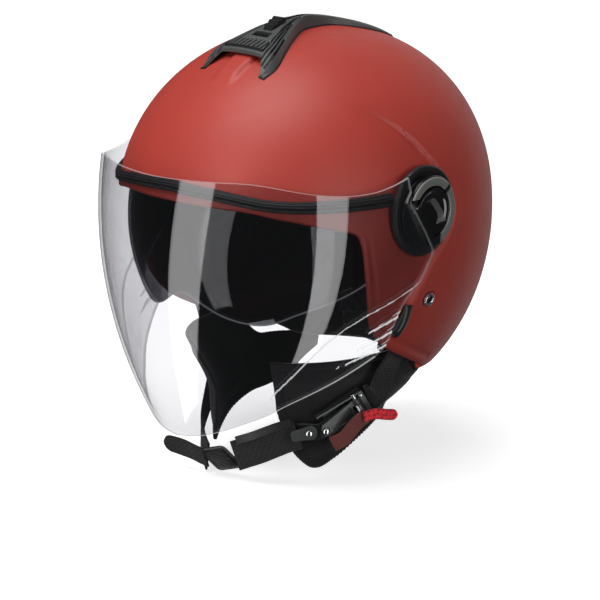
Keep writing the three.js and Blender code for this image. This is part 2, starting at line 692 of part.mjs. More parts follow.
function strapPad() {
  const place = (u, v, inset) => {
    const spot = PAD_LOWER.getPoint(u);
    const top = mix(-110, -135.5, THREE.MathUtils.smoothstep(spot.x, 100, 122));
    const z = mix(top, spot.y, v);
    const blend = THREE.MathUtils.smoothstep(spot.x, 84, 132);
    const radius = mix(valueAt(PAD_FRONT, z), valueAt(PAD_REAR, z), blend);
    return roundNeck(spot.x, z, radius - inset);
  };
  return panel(12, 6, (u, v) => place(u, v, 0), (u, v) => place(u, v, 3));
}

// ---- Buckle ----

// A frame at a point, with its first axis along a direction and its third facing away from the neck.
function frameAt(point, direction, outNear = point) {
  const along = direction.clone().normalize();
  const out = outwards(outNear);
  out.addScaledVector(along, -out.dot(along)).normalize();
  const across = new THREE.Vector3().crossVectors(out, along);
  return new THREE.Matrix4().makeBasis(along, across, out).setPosition(point);
}

// The buckle's frame starts at the lever's free end and runs up the strap to its hinge.
const buckleFrame = frameAt(v3(57.6, -32.9, -160.6), v3(15, 27, 18.6), v3(64.2, -19.1, -151.6));

const BUCKLE = {
  length: 36, halfWidth: 11.5, wall: 1.5, wallTop: 8.4,
  pinU: 29, pinW: 7.2, pinRadius: 1.6, pinPlay: 0.15, leverHalfWidth: 7.6,
};

// A cylinder about the hinge's axis in the buckle's frame.
const hingeRod = (radius, length) =>
  new THREE.CylinderGeometry(radius, radius, length, 20).translate(BUCKLE.pinU, 0, BUCKLE.pinW);

function buckleBody() {
  const { length, halfWidth, wall, wallTop } = BUCKLE;
  const floor = box([4, -halfWidth, 0], [length, halfWidth, wall]);
  const sideOutline = [[-1, 0], [length, 0], [length, wallTop], [length - 10, wallTop], [2, 4.4], [-1, 4.4]];
  const wallAt = (v) => extrude(sideOutline, wall).rotateX(Math.PI / 2).translate(0, v, 0);
  const bridge = box([length - 4, -halfWidth, wallTop - wall], [length, halfWidth, wallTop]);
  const pinHole = hingeRod(BUCKLE.pinRadius + BUCKLE.pinPlay, 40);
  return cut(joined(floor, wallAt(-halfWidth + wall), wallAt(halfWidth), bridge), pinHole)
    .applyMatrix4(buckleFrame);
}

const leverPin = () =>
  hingeRod(BUCKLE.pinRadius, 2 * BUCKLE.halfWidth + 1).applyMatrix4(buckleFrame);

// The lever lies on the strip with a pawl tooth, narrows to its free end and turns on the pin.
function buckleLever() {
  const plan = [
    [-3.6, -3], [-1, -5.4], [26, -7.6], [30.6, -7.6], [30.6, 7.6], [26, 7.6], [-1, 5.4], [-3.6, 3],
  ];
  const slab = extrude(plan, 2.2).translate(0, 0, 5.4);
  const pawl = extrude([[6, 5.6], [8.6, 4.9], [9.4, 4.9], [9.4, 5.6]], 8)
    .rotateX(Math.PI / 2).translate(0, 4, 0);
  const barrel = hingeRod(3, 2 * BUCKLE.leverHalfWidth);
  const bore = hingeRod(BUCKLE.pinRadius + BUCKLE.pinPlay, 40);
  const springRoom = box([24.5, -3.2, 0], [40, 3.2, 20]);
  const rivetHole = new THREE.CylinderGeometry(1.6, 1.6, 40, 16).rotateX(Math.PI / 2);
  return cut(joined(slab, pawl, barrel), bore, springRoom, rivetHole).applyMatrix4(buckleFrame);
}

// The torsion spring round the pin, as the sleeve its coils fill.
function leverSpring() {
  const profile = [[2, -2.8], [3, -2.8], [3, 2.8], [2, 2.8], [2, -2.8]];
  return new THREE.LatheGeometry(profile.map(([r, h]) => new THREE.Vector2(r, h)), 20)
    .translate(BUCKLE.pinU, 0, BUCKLE.pinW).applyMatrix4(buckleFrame);
}

const rivetProfile = [[0, 5.2], [1.3, 5.2], [1.3, 7.9], [3, 7.9], [2.6, 9.4], [1.4, 10.2], [0, 10.4]];
const leverRivet = () => new THREE.LatheGeometry(rivetProfile.map(([r, h]) => new THREE.Vector2(r, h)), 16)
  .rotateX(Math.PI / 2).applyMatrix4(buckleFrame);

// The toothed strip runs through the buckle under the lever, then inside the chin webbing.
function ratchetStrip() {
  const buckleOut = new THREE.Vector3().setFromMatrixColumn(buckleFrame, 2);
  const facing = (u, middle) =>
    buckleOut.clone().lerp(outwards(middle), THREE.MathUtils.smoothstep(u, 0.34, 0.6));
  return ribbon([
    inBuckle(25, 0, 3.2), inBuckle(11, 0, 3.2), inBuckle(-3, 0, 3.2), roundNeck(45, -163.6, 67.2),
    roundNeck(36, -166, 66.2), roundNeck(20, -173, 65), roundNeck(6, -180, 64.8),
  ], 13, 2, 24, facing);
}

const fittingFrame = frameAt(roundNeck(48.6, -162.6, 72.4), v3(0.66, 0.73, 0.2));

// The plate that rivets the webbing to the strip, drop-shaped.
function endFitting() {
  const plan = new THREE.Shape();
  plan.absarc(0, 0, 6, radians(-70), radians(70));
  plan.lineTo(-13, 3.6);
  plan.lineTo(-13, -3.6);
  return new THREE.ExtrudeGeometry(plan, { depth: 1.6, bevelEnabled: false, curveSegments: 12 })
    .translate(0, 0, 0.4).applyMatrix4(fittingFrame);
}
const fittingRivet = () => new THREE.LatheGeometry(
  [[0, 2.3], [2.8, 2.3], [2.5, 3.6], [1.3, 4.4], [0, 4.6]].map(([r, h]) => new THREE.Vector2(r, h)), 16)
  .rotateX(Math.PI / 2).applyMatrix4(fittingFrame);

// The release ribbon folds from the lever's free end back up past the buckle.
const pullRibbon = () => ribbon([
  inBuckle(-2, -10, 10.4), inBuckle(7, -10.4, 12.2), inBuckle(15.6, -7.6, 13), inBuckle(22.5, -5.4, 13.6),
  inBuckle(28, -5, 13.8),
], 12, 1.4, 8);
const pullLoop = () => ribbon([
  inBuckle(26.6, -3, 17), inBuckle(34.6, -6.4, 17), inBuckle(41, -12.6, 16), inBuckle(47.4, -18.6, 14.4),
], 8, 3.2, 8);

// ---- Assembly ----

const helmet = new THREE.Group();

function add(name, geometry, material) {
  const mesh = new THREE.Mesh(geometry, material);
  mesh.name = name;
  helmet.add(mesh);
}

// The same piece on both sides of the helmet.
function addPair(name, geometry, material) {
  add(`${name}_left`, geometry, material);
  add(`${name}_right`, mirrorX(geometry), material);
}

add("outer_shell", outerShell(), shellRed);
add("eps_liner", epsLiner(), foamBlack);
add("crown_liner", crownLiner(), linerBlack);
addPair("cheek_pad", cheekPad(), linerBlack);
add("neck_roll", neckRoll(), linerBlack);
addPair("strap_pad", strapPad(), linerBlack);
add("brow_seal", browSeal(), rubberBlack);
addPair("side_stop", sideStop(), satinBlack);
addPair("pivot_base", pivotBase(), satinBlack);
addPair("pivot_pin", pivotPin(), buckleGrey);
add("visor", visor(), clearPlastic);
addPair("hub_cover", hubCover(), glossBlack);
addPair("hub_arc", hubArc(), satinGrey);
add("sun_visor", sunVisor(), smokePlastic);
addPair("sun_visor_pivot", sunVisorPivot(), buckleGrey);
add("vent_cover", ventCover(), ventGrey);
add("vent_shutter", ventShutter(), satinBlack);
add("slider_knob", sliderKnob(), satinBlack);
add("slider_carrier", sliderCarrier(), satinBlack);
addPair("strap_rivet", strapRivet(), chrome);
add("strap_left", strapLeft(), webbingBlack);
add("strap_right", strapRight(), webbingBlack);
add("chin_webbing", chinWebbing(), webbingBlack);
add("strap_ring", strapRing(), satinBlack);
add("strap_tail", strapTail(), webbingBlack);
add("ratchet_strip", ratchetStrip(), satinBlack);
add("end_fitting", endFitting(), buckleGrey);
add("fitting_rivet", fittingRivet(), chrome);
add("buckle_body", buckleBody(), buckleGrey);
add("lever_pin", leverPin(), chrome);
add("lever_spring", leverSpring(), chrome);
add("buckle_lever", buckleLever(), buckleGrey);
add("lever_rivet", leverRivet(), chrome);
add("pull_ribbon", pullRibbon(), ribbonMaroon);
add("pull_loop", pullLoop(), loopRed);

export default helmet;
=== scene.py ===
"""The visible surfaces of an open-face motorcycle helmet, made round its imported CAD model.

Lengths are in millimetres until a mesh is made. The frame is the CAD model's: the helmet faces -Y,
the wearer's left is +X, up is +Z and the origin is the middle of the visor's pivot axis.
"""
import math

import bmesh
import bpy
import numpy as np
from mathutils import Matrix, Vector


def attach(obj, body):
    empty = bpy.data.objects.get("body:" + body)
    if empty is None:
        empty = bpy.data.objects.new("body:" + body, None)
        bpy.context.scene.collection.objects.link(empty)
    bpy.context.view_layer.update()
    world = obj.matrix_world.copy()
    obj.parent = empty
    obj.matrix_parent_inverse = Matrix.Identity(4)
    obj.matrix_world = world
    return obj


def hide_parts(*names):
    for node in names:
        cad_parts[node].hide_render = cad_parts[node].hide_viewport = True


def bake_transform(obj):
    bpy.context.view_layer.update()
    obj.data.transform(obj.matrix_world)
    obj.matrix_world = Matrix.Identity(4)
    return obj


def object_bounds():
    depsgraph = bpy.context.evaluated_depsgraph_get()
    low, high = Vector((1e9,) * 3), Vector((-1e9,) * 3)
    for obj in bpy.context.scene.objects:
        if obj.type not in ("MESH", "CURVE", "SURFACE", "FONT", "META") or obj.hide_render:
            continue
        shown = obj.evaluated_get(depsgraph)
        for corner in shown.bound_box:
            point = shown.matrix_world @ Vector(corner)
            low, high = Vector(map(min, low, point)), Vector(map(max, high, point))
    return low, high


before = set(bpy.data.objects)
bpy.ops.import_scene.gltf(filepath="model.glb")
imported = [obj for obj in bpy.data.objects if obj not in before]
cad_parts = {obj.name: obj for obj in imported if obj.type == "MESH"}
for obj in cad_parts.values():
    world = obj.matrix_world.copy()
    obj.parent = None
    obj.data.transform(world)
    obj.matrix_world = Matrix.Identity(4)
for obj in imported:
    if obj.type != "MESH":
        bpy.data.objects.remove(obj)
CAD_LOW, CAD_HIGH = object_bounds()

MM = 0.001
FAR = 200.0  # past every face of the object

# ---- Driving dimensions ----
# They are the CAD model's, apart from VISOR_EAR and LENS_LOWER, which are drawn more closely here.

HALF_WIDTH, FRONT, REAR, UP, DOWN = 122.0, 152.2, 127.2, 131.7, 150.8
CENTRE = np.array([0.0, 24.4, -21.6])
PLAN_POWER, CROWN_POWER = 2.17, 2.18
SHELL_THICKNESS = 4.0

SHELL_EDGE = [
    (-FAR, 12.5), (-124, 10.5), (-97, 4), (-68, -5), (-60, -7), (-54, -11), (-51, -21),
    (-48.5, -37), (-44, -58), (-39, -75), (-34, -83), (-27.6, -90), (-16.5, -98.7), (2, -108.6),
    (21.6, -118), (40, -126), (52, -130), (FAR, -130),
]
HUB_RADIUS, HUB_RIM_X, HUB_RIM_LEAN, HUB_RIM_WIDTH, HUB_FLOOR_X = 31.5, 121.6, 0.02, 5.2, 120.8
COVER_RADIUS, COVER_TOP_X, ARC_INSIDE, ARC_OUTSIDE, ARC_TOP_X = 25.4, 127.3, 18.5, 24.6, 128.4

VISOR_HALF_WIDTH, VISOR_FADE, VISOR_FRONT, VISOR_BULGE_Z, VISOR_BULGE_FADE = 127, 186, 147, -28, 640
VISOR_THICKNESS = 2.2
VISOR_TOP = [(0, 31), (17, 31.4), (34, 31), (50.6, 24), (61, 21), (69, 21), (75.5, 23.5), (81.4, 27.5)]
VISOR_BOTTOM = [(0, -157), (20, -153), (39.5, -141), (50, -131), (65, -115), (77, -100)]
# The ear's edge round the hub, as (y, z), and from there down to the corner, as (degrees, z).
VISOR_EAR = [
    (-21.3, 27.5), (-19.4, 17.4), (-22.4, 13.2), (-23.9, 9.9),
    (-20.1, 9.8), (2.5, -23.9), (3.6, -25.6), (5.2, -27),
]
VISOR_REAR = [(92, -31), (87.3, -51), (83.3, -63), (81, -80), (80, -92), (77, -100)]

LENS_Z, LENS_HALF_WIDTH, LENS_RADIUS, LENS_THICKNESS, LENS_TOP = -18, 106, 120, 2, 19
LENS_LOWER = [(0, -18.5), (14, -27), (29, -32.5), (43, -32.5), (58, -36), (72, -43), (87, -52)]

NECK_Y = 4.5
STRAP_WIDTH, STRAP_THICKNESS, TAIL_WIDTH = 22, 1.8, 19

# ---- Small mathematics ----


def mix(a, b, t):
    return a + (b - a) * t


def ease(x, low, high):
    """0 before low, 1 after high and smooth between them."""
    t = np.clip((np.asarray(x, float) - low) / (high - low), 0, 1)
    return t * t * (3 - 2 * t)


def bell(x, centre, width):
    """1 at the centre, fading to 0 within about twice the width on each side."""
    return np.exp(-((x - centre) / width) ** 2)


def unit(v):
    return v / np.linalg.norm(v, axis=-1, keepdims=True)


def curve(points, per_span=24):
    """A smooth line through the points, as a dense array."""
    p = np.array(points, float)
    p = np.vstack([p[:1], p, p[-1:]])
    t = np.linspace(0, 1, per_span, endpoint=False)[:, None]
    spans = [
        0.5 * (2 * b + (c - a) * t + (2 * a - 5 * b + 4 * c - d) * t**2 + (3 * b - a - 3 * c + d) * t**3)
        for a, b, c, d in zip(p[:-3], p[1:-2], p[2:-1], p[3:])
    ]
    return np.vstack(spans + [p[-1:]])


def along(line, share):
    """Points at shares of a line's length."""
    length = np.concatenate([[0], np.cumsum(np.linalg.norm(np.diff(line, axis=0), axis=1))])
    where = np.asarray(share, float) * length[-1]
    return np.stack([np.interp(where, length, line[:, k]) for k in range(line.shape[1])], -1)


def by_index(points, share):
    """Points at shares of a smooth line, counted by its control points."""
    line = curve(points, 32)
    where = np.asarray(share, float) * (len(line) - 1)
    index = np.arange(len(line))
    return np.stack([np.interp(where, index, line[:, k]) for k in range(line.shape[1])], -1)


def value_at(points, y):
    line = curve(points)
    return np.interp(y, line[:, 0], line[:, 1])


def side_distance(y, z, line):
    """Signed distance from (y, z) points to a line in the side view, positive on its left."""
    line = np.asarray(line, float)
    best = np.full(np.shape(y), 1e9)
    signed = np.zeros(np.shape(y))
    for (ay, az), (by, bz) in zip(line[:-1], line[1:]):
        dy, dz = by - ay, bz - az
        t = np.clip(((y - ay) * dy + (z - az) * dz) / (dy * dy + dz * dz), 0, 1)
        gap = np.hypot(y - ay - t * dy, z - az - t * dz)
        cross = dy * (z - az) - dz * (y - ay)
        closer = gap < best
        best = np.where(closer, gap, best)
        signed = np.where(closer, np.sign(cross) * gap, signed)
    return signed


# ---- The shell's surface ----


def level_share(z, grow=0.0):
    rise = np.asarray(z, float) - CENTRE[2]
    above = np.clip(1 - np.abs(rise / (UP + grow)) ** CROWN_POWER, 0, 1) ** (1 / CROWN_POWER)
    below = np.sqrt(np.clip(1 - (rise / (DOWN + grow)) ** 2, 0, 1))
    return np.where(rise > 0, above, below)


def shell_point(angle, z, grow=0.0):
    """A point of the grown surface at a height, with the angle counted from +X to the rear."""
    angle, z, grow = np.broadcast_arrays(angle, z, grow)
    share = level_share(z, grow)
    across, back = np.cos(angle), np.sin(angle)
    depth = np.where(back < 0, FRONT, REAR) + grow
    power = 2 / PLAN_POWER
    x = np.sign(across) * np.abs(across) ** power * (HALF_WIDTH + grow) * share
    y = CENTRE[1] + np.sign(back) * np.abs(back) ** power * depth * share
    return np.stack([x, y, np.asarray(z, float)], -1)


def shell_side(y, z, grow=0.0):
    """The +X point of the grown surface at a place in the side view."""
    share = level_share(z, grow)
    offset = np.asarray(y, float) - CENTRE[1]
    depth = (np.where(offset < 0, FRONT, REAR) + grow) * share
    across = np.clip(1 - np.abs(offset / depth) ** PLAN_POWER, 0, 1) ** (1 / PLAN_POWER)
    return np.stack([(HALF_WIDTH + grow) * share * across, y + 0 * across, z + 0 * across], -1)


def crown_height(x, y, grow=0.0):
    offset = np.asarray(y, float) - CENTRE[1]
    depth = np.where(offset < 0, FRONT, REAR) + grow
    share = (np.abs(x) / (HALF_WIDTH + grow)) ** PLAN_POWER + np.abs(offset / depth) ** PLAN_POWER
    level = np.clip(1 - share ** (CROWN_POWER / PLAN_POWER), 0, 1) ** (1 / CROWN_POWER)
    return CENTRE[2] + (UP + grow) * level


def star_point(direction, grow=0.0):
    """Where a ray from the shell's centre meets the grown surface."""
    d = direction
    a = HALF_WIDTH + grow
    depth = np.where(d[..., 1] < 0, FRONT, REAR) + grow
    plan = np.abs(d[..., 0] / a) ** PLAN_POWER + np.abs(d[..., 1] / depth) ** PLAN_POWER
    up = plan ** (CROWN_POWER / PLAN_POWER) + np.abs(d[..., 2] / (UP + grow)) ** CROWN_POWER
    down = plan ** (2 / PLAN_POWER) + (d[..., 2] / (DOWN + grow)) ** 2
    reach = np.where(d[..., 2] > 0, up ** (-1 / CROWN_POWER), down**-0.5)
    return CENTRE + reach[..., None] * d


# ---- Meshes ----

MATERIALS = {}
EDGE_SEGMENTS, SHARP_MARGIN = 3, 8


def new_mesh(name, points, faces):
    mesh = bpy.data.meshes.new(name)
    mesh.from_pydata(np.asarray(points, float).reshape(-1, 3).tolist(), [], faces)
    return mesh


def new_object(name, data):
    obj = bpy.data.objects.new(name, data)
    bpy.context.scene.collection.objects.link(obj)
    return obj


def face_outward(mesh):
    made = bmesh.new()
    made.from_mesh(mesh)
    bmesh.ops.recalc_face_normals(made, faces=made.faces)
    made.to_mesh(mesh)
    made.free()


def round_edges(obj, width, segments, degrees):
    """Rounds the edges that turn by more than an angle."""
    rounding = obj.modifiers.new("edges", "BEVEL")
    rounding.width = width * MM
    rounding.segments = segments
    rounding.limit_method = "ANGLE"
    rounding.angle_limit = math.radians(degrees)
    return rounding


def lay_out(mesh, uv):
    """Gives a mesh one UV place per point."""
    layer = mesh.uv_layers.new(name="UVMap")
    corner = np.zeros(len(mesh.loops), np.int32)
    mesh.loops.foreach_get("vertex_index", corner)
    layer.data.foreach_set("uv", np.asarray(uv, np.float32)[corner].ravel())


def piece(name, points, faces, finish, body, nodes=(), bevel=0.0, uv=None, angle=32):
    """A mesh from millimetre points, with a finish, riding on a body and standing for CAD nodes."""
    mesh = new_mesh(name, np.asarray(points, float) * MM, faces)
    obj = new_object(name, mesh)
    if uv is not None:
        lay_out(mesh, uv)
    face_outward(mesh)
    mesh.materials.append(MATERIALS[finish])
    mesh.shade_smooth()
    if bevel:
        round_edges(obj, bevel, EDGE_SEGMENTS, angle).harden_normals = True
    else:
        sharp_by_angle(mesh, math.radians(angle + SHARP_MARGIN))
    if body:
        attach(obj, body)
    if nodes:
        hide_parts(*nodes)
    return obj


def both_sides(name, mesh, finish, body, node=None, **more):
    """A piece on the wearer's left and its mirror image on the right."""
    made = []
    for word, pair in (("left", mesh), ("right", mirrored(mesh))):
        nodes = [f"{node}_{word}"] if node else ()
        made.append(piece(f"{name}_{word}", *pair, finish, body, nodes, **more))
    return made


def second_finish(obj, finish, chosen):
    """Faces chosen by index take another finish; the others keep theirs."""
    obj.data.materials.append(MATERIALS[finish])
    slots = np.zeros(len(obj.data.polygons), np.int32)
    obj.data.polygons.foreach_get("material_index", slots)
    slots[chosen] = len(obj.data.materials) - 1
    obj.data.polygons.foreach_set("material_index", slots)


def face_middles(points, faces):
    return np.array([points[list(face)].mean(0) for face in faces])


def sharp_by_angle(mesh, limit):
    made = bmesh.new()
    made.from_mesh(mesh)
    for edge in made.edges:
        if len(edge.link_faces) == 2:
            edge.smooth = edge.calc_face_angle(0) < limit
    made.to_mesh(mesh)
    made.free()


def grid_faces(columns, rows, wrap_columns=False, wrap_rows=False):
    """Quads over a grid of points stored column by column."""
    faces = []
    for i in range(columns if wrap_columns else columns - 1):
        here, after = i * rows, (i + 1) % columns * rows
        for j in range(rows if wrap_rows else rows - 1):
            k = (j + 1) % rows
            faces.append((here + j, after + j, after + k, here + k))
    return faces


def panel_mesh(outer, inner):
    """Points and faces of a closed panel between two grids."""
    columns, rows = outer.shape[:2]
    under = columns * rows
    faces = grid_faces(columns, rows)
    faces += [(under + a, under + d, under + c, under + b) for a, b, c, d in faces]
    for j in range(rows - 1):
        last = (columns - 1) * rows + j
        faces.append((j, j + 1, under + j + 1, under + j))
        faces.append((last, under + last, under + last + 1, last + 1))
    for i in range(columns - 1):
        a = i * rows
        b = a + rows - 1
        faces.append((a, under + a, under + a + rows, a + rows))
        faces.append((b, b + rows, under + b + rows, under + b))
    return np.concatenate([outer.reshape(-1, 3), inner.reshape(-1, 3)]), faces


def rim_start(shape):
    """The first of a panel's rim faces, after those of its two sides."""
    return 2 * (shape[0] - 1) * (shape[1] - 1)


def ring_mesh(rings, closed=False):
    """Points and faces of a tube through rings, shape (count, points, 3), with flat ends."""
    count, size = rings.shape[:2]
    faces = grid_faces(count, size, wrap_columns=closed, wrap_rows=True)
    if not closed:
        faces += [tuple(range(size)), tuple((count - 1) * size + k for k in reversed(range(size)))]
    return rings.reshape(-1, 3), faces


def grids(columns, rows):
    return np.meshgrid(np.linspace(0, 1, columns), np.linspace(0, 1, rows), indexing="ij")


def capped(grid, poles):
    """Points and faces of a closed skin over a round grid, from a first pole to a second."""
    columns, rows = grid.shape[:2]
    faces = grid_faces(columns, rows, wrap_columns=True)
    pole = columns * rows
    for i in range(columns):
        here, after = i * rows, (i + 1) % columns * rows
        faces.append((pole, after, here))
        faces.append((pole + 1, here + rows - 1, after + rows - 1))
    return np.vstack([grid.reshape(-1, 3), poles]), faces


def lathe(profile, segments=96):
    """Points and faces of a profile of (radius, height) turned about +Z.

    The profile starts and ends on the axis, or closes on itself.
    """
    profile = np.array(profile, float)
    turn = np.linspace(0, 2 * np.pi, segments, endpoint=False)
    across, forward = np.outer(np.cos(turn), profile[:, 0]), np.outer(np.sin(turn), profile[:, 0])
    rings = np.stack([across, forward, np.tile(profile[:, 1], (segments, 1))], -1)
    closed = profile[0, 0] > 1e-6
    faces = grid_faces(segments, len(profile), wrap_columns=True, wrap_rows=closed)
    return merge_poles(rings.reshape(-1, 3), faces)


def merge_poles(points, faces):
    """Points on the axis become one, and the faces that they close become triangles."""
    keys = {}
    index = []
    kept = []
    for p in np.round(points, 5):
        key = tuple(p + 0.0)
        if key not in keys:
            keys[key] = len(kept)
            kept.append(p)
        index.append(keys[key])
    clean = []
    for face in faces:
        ids = [index[k] for k in face]
        short = [a for k, a in enumerate(ids) if a != ids[k - 1]]
        if len(short) > 2:
            clean.append(tuple(short))
    return np.array(kept), clean


def round_profile(profile, radius, steps=4):
    """A profile of (radius, height) with its inner corners rounded off."""
    p = np.array(profile, float)
    out = [p[0]]
    for a, b, c in zip(p[:-2], p[1:-1], p[2:]):
        before, after = np.linalg.norm(a - b), np.linalg.norm(c - b)
        r = min(radius, before * 0.45, after * 0.45)
        start, end = b + (a - b) / before * r, b + (c - b) / after * r
        for t in np.linspace(0, 1, steps + 1):
            out.append((1 - t) ** 2 * start + 2 * t * (1 - t) * b + t * t * end)
    return np.array(out + [p[-1]])


def disc(radius, low, high, rounding, segments):
    """A solid disc or pin about +Z with its outer edges rounded."""
    return lathe(round_profile([(0, low), (radius, low), (radius, high), (0, high)], rounding), segments)


def to_x(mesh, side=1, z=0.0):
    """A (points, faces) pair turned from about +Z to about +X, or to about -X as a mirror image."""
    points, faces = mesh
    turned = np.stack([points[:, 2], points[:, 0], points[:, 1]], -1)
    return (turned + np.array([0, 0, z])) * np.array([side, 1, 1]), faces


def prism(outline, low, high, axis="X"):
    """Points and faces of an outline extruded along X, of (y, z) points, or along Z, of (x, y)."""
    flat = np.array(outline, float)
    ends = []
    for level in (low, high):
        column = np.full((len(flat), 1), float(level))
        ends.append(np.hstack([column, flat]) if axis == "X" else np.hstack([flat, column]))
    count = len(flat)
    faces = [tuple(range(count)), tuple(range(2 * count - 1, count - 1, -1))]
    faces += [(k, count + k, count + (k + 1) % count, (k + 1) % count) for k in range(count)]
    return np.vstack(ends), faces


def block(low, high):
    """Points and faces of a box between two corners."""
    corners = [(low[0], low[1]), (high[0], low[1]), (high[0], high[1]), (low[0], high[1])]
    return prism(corners, low[2], high[2], "Z")


def moved(mesh, matrix):
    """A (points, faces) pair carried by a 4x4 matrix."""
    points, faces = mesh
    turned = points @ matrix[:3, :3].T + matrix[:3, 3]
    return turned, faces


def mirrored(mesh):
    points, faces = mesh
    return points * np.array([-1, 1, 1]), faces


def on_side(mesh, side):
    return mesh if side > 0 else mirrored(mesh)


def merged(*meshes):
    points, faces = [], []
    start = 0
    for p, f in meshes:
        points.append(p)
        faces += [tuple(k + start for k in face) for face in f]
        start += len(p)
    return np.vstack(points), faces


def coordinates(mesh):
    flat = np.zeros(len(mesh.vertices) * 3)
    mesh.vertices.foreach_get("co", flat)
    return flat.reshape(-1, 3)


def settle(obj):
    """Applies the modifiers."""
    bpy.context.view_layer.update()
    graph = bpy.context.evaluated_depsgraph_get()
    done = bpy.data.meshes.new_from_object(obj.evaluated_get(graph))
    obj.modifiers.clear()
    obj.data = done


def taken_back(obj):
    """A worked-on object's points and faces; the object itself goes."""
    points = coordinates(obj.data)
    faces = [tuple(polygon.vertices) for polygon in obj.data.polygons]
    bpy.data.objects.remove(obj)
    return points, faces


def loose_object(name, mesh):
    """A (points, faces) pair as an object to work on."""
    data = new_mesh(name, *mesh)
    face_outward(data)
    return new_object(name, data)


def carve(mesh, tools, keep=None):
    """A (points, faces) pair less each tool, and only inside keep where given."""
    work = loose_object("work", mesh)
    jobs = [("DIFFERENCE", tool) for tool in tools]
    if keep:
        jobs.append(("INTERSECT", keep))
    for operation, tool in jobs:
        other = loose_object("tool", tool)
        cutter = work.modifiers.new("cut", "BOOLEAN")
        cutter.operation = operation
        cutter.solver = "EXACT"
        cutter.object = other
        settle(work)
        bpy.data.objects.remove(other)
    return taken_back(work)


def as_matrix(first, second, third, place):
    """A 4x4 matrix from three axes and an origin."""
    matrix = np.eye(4)
    matrix[:3] = np.stack([first, second, third, place], 1)
    return matrix


def within(matrix, u, v, w):
    """A point given by its place in a frame."""
    return matrix[:3, :3] @ np.array([u, v, w], float) + matrix[:3, 3]


def away_from_neck(point):
    return unit(np.array([point[0], point[1] - NECK_Y, 0]))


def frame_at(point, direction, near=None):
    """A frame with its first axis along a direction and its third facing away from the neck."""
    first = unit(np.array(direction, float))
    third = away_from_neck(np.array(point if near is None else near, float))
    third = unit(third - first * (third @ first))
    return as_matrix(first, np.cross(third, first), third, point)


def axis_frame(point, direction):
    """A frame with its third axis along a direction."""
    third = unit(np.array(direction, float))
    first = unit(np.cross([0.0, 1.0, 0.2], third))
    return as_matrix(first, np.cross(third, first), third, point)


# ---- Materials ----


class Finish:
    """A Principled material and short ways of wiring it."""

    def __init__(self, name, **sockets):
        self.material = bpy.data.materials.new(name)
        self.material.use_nodes = True
        self.tree = self.material.node_tree
        self.shader = self.tree.nodes["Principled BSDF"]
        for socket, value in sockets.items():
            self.shader.inputs[socket.replace("_", " ")].default_value = value
        MATERIALS[name] = self.material

    def node(self, kind, **settings):
        made = self.tree.nodes.new("ShaderNode" + kind)
        for key, value in settings.items():
            setattr(made, key, value)
        return made

    def place(self, uv=False):
        """Object coordinates, or the mesh's own UVs, in metres."""
        return self.node("TexCoord").outputs["UV" if uv else "Object"]

    def noise(self, scale, detail=2.0):
        made = self.node("TexNoise")
        made.inputs["Scale"].default_value = scale
        made.inputs["Detail"].default_value = detail
        self.tree.links.new(self.place(), made.inputs["Vector"])
        return made.outputs["Fac"]

    def waves(self, scale, direction, vector):
        made = self.node("TexWave", bands_direction=direction)
        made.inputs["Scale"].default_value = scale
        self.tree.links.new(vector, made.inputs["Vector"])
        return made.outputs["Fac"]

    def cells(self, scale, randomness=1.0):
        made = self.node("TexVoronoi")
        made.inputs["Scale"].default_value = scale
        made.inputs["Randomness"].default_value = randomness
        self.tree.links.new(self.place(), made.inputs["Vector"])
        return made.outputs["Distance"]

    def maths(self, operation, a, b):
        made = self.node("Math", operation=operation)
        for socket, value in zip(made.inputs, (a, b)):
            if isinstance(value, (int, float)):
                socket.default_value = value
            else:
                self.tree.links.new(value, socket)
        return made.outputs[0]

    def ranged(self, value, low, high):
        made = self.node("MapRange")
        made.inputs["To Min"].default_value = low
        made.inputs["To Max"].default_value = high
        self.tree.links.new(value, made.inputs["Value"])
        return made.outputs["Result"]

    def colour(self, value, *stops):
        """Base colour from a value, through (place, (r, g, b)) stops."""
        ramp = self.node("ValToRGB")
        while len(ramp.color_ramp.elements) < len(stops):
            ramp.color_ramp.elements.new(0.5)
        for element, (place, rgb) in zip(ramp.color_ramp.elements, stops):
            element.position = place
            element.color = (*rgb, 1)
        self.tree.links.new(value, ramp.inputs["Fac"])
        self.tree.links.new(ramp.outputs["Color"], self.shader.inputs["Base Color"])

    def rough(self, value, low, high):
        self.tree.links.new(self.ranged(value, low, high), self.shader.inputs["Roughness"])

    def bump(self, height, strength, depth_mm):
        made = self.node("Bump")
        made.inputs["Strength"].default_value = strength
        made.inputs["Distance"].default_value = depth_mm * MM
        self.tree.links.new(height, made.inputs["Height"])
        before = self.shader.inputs["Normal"].links
        if before:
            self.tree.links.new(before[0].from_socket, made.inputs["Normal"])
        self.tree.links.new(made.outputs["Normal"], self.shader.inputs["Normal"])


def toned(rgb, share):
    return tuple(min(1.0, c * share) for c in rgb)


def plain(name, rgb, rough, grain, grain_depth, spread=0.08, **sockets):
    """A moulded or coated surface: slight mottling, fine grain and uneven roughness."""
    made = Finish(name, **sockets)
    made.colour(made.noise(35, 3), (0.3, toned(rgb, 1 - spread)), (0.7, toned(rgb, 1 + spread)))
    made.rough(made.noise(120, 3), rough - 0.05, rough + 0.06)
    made.bump(made.noise(grain, 2), 0.5, grain_depth)
    return made


# Threads for each metre over this give the scale of the wave textures that draw them.
WAVE_DIVISOR = 6.28318


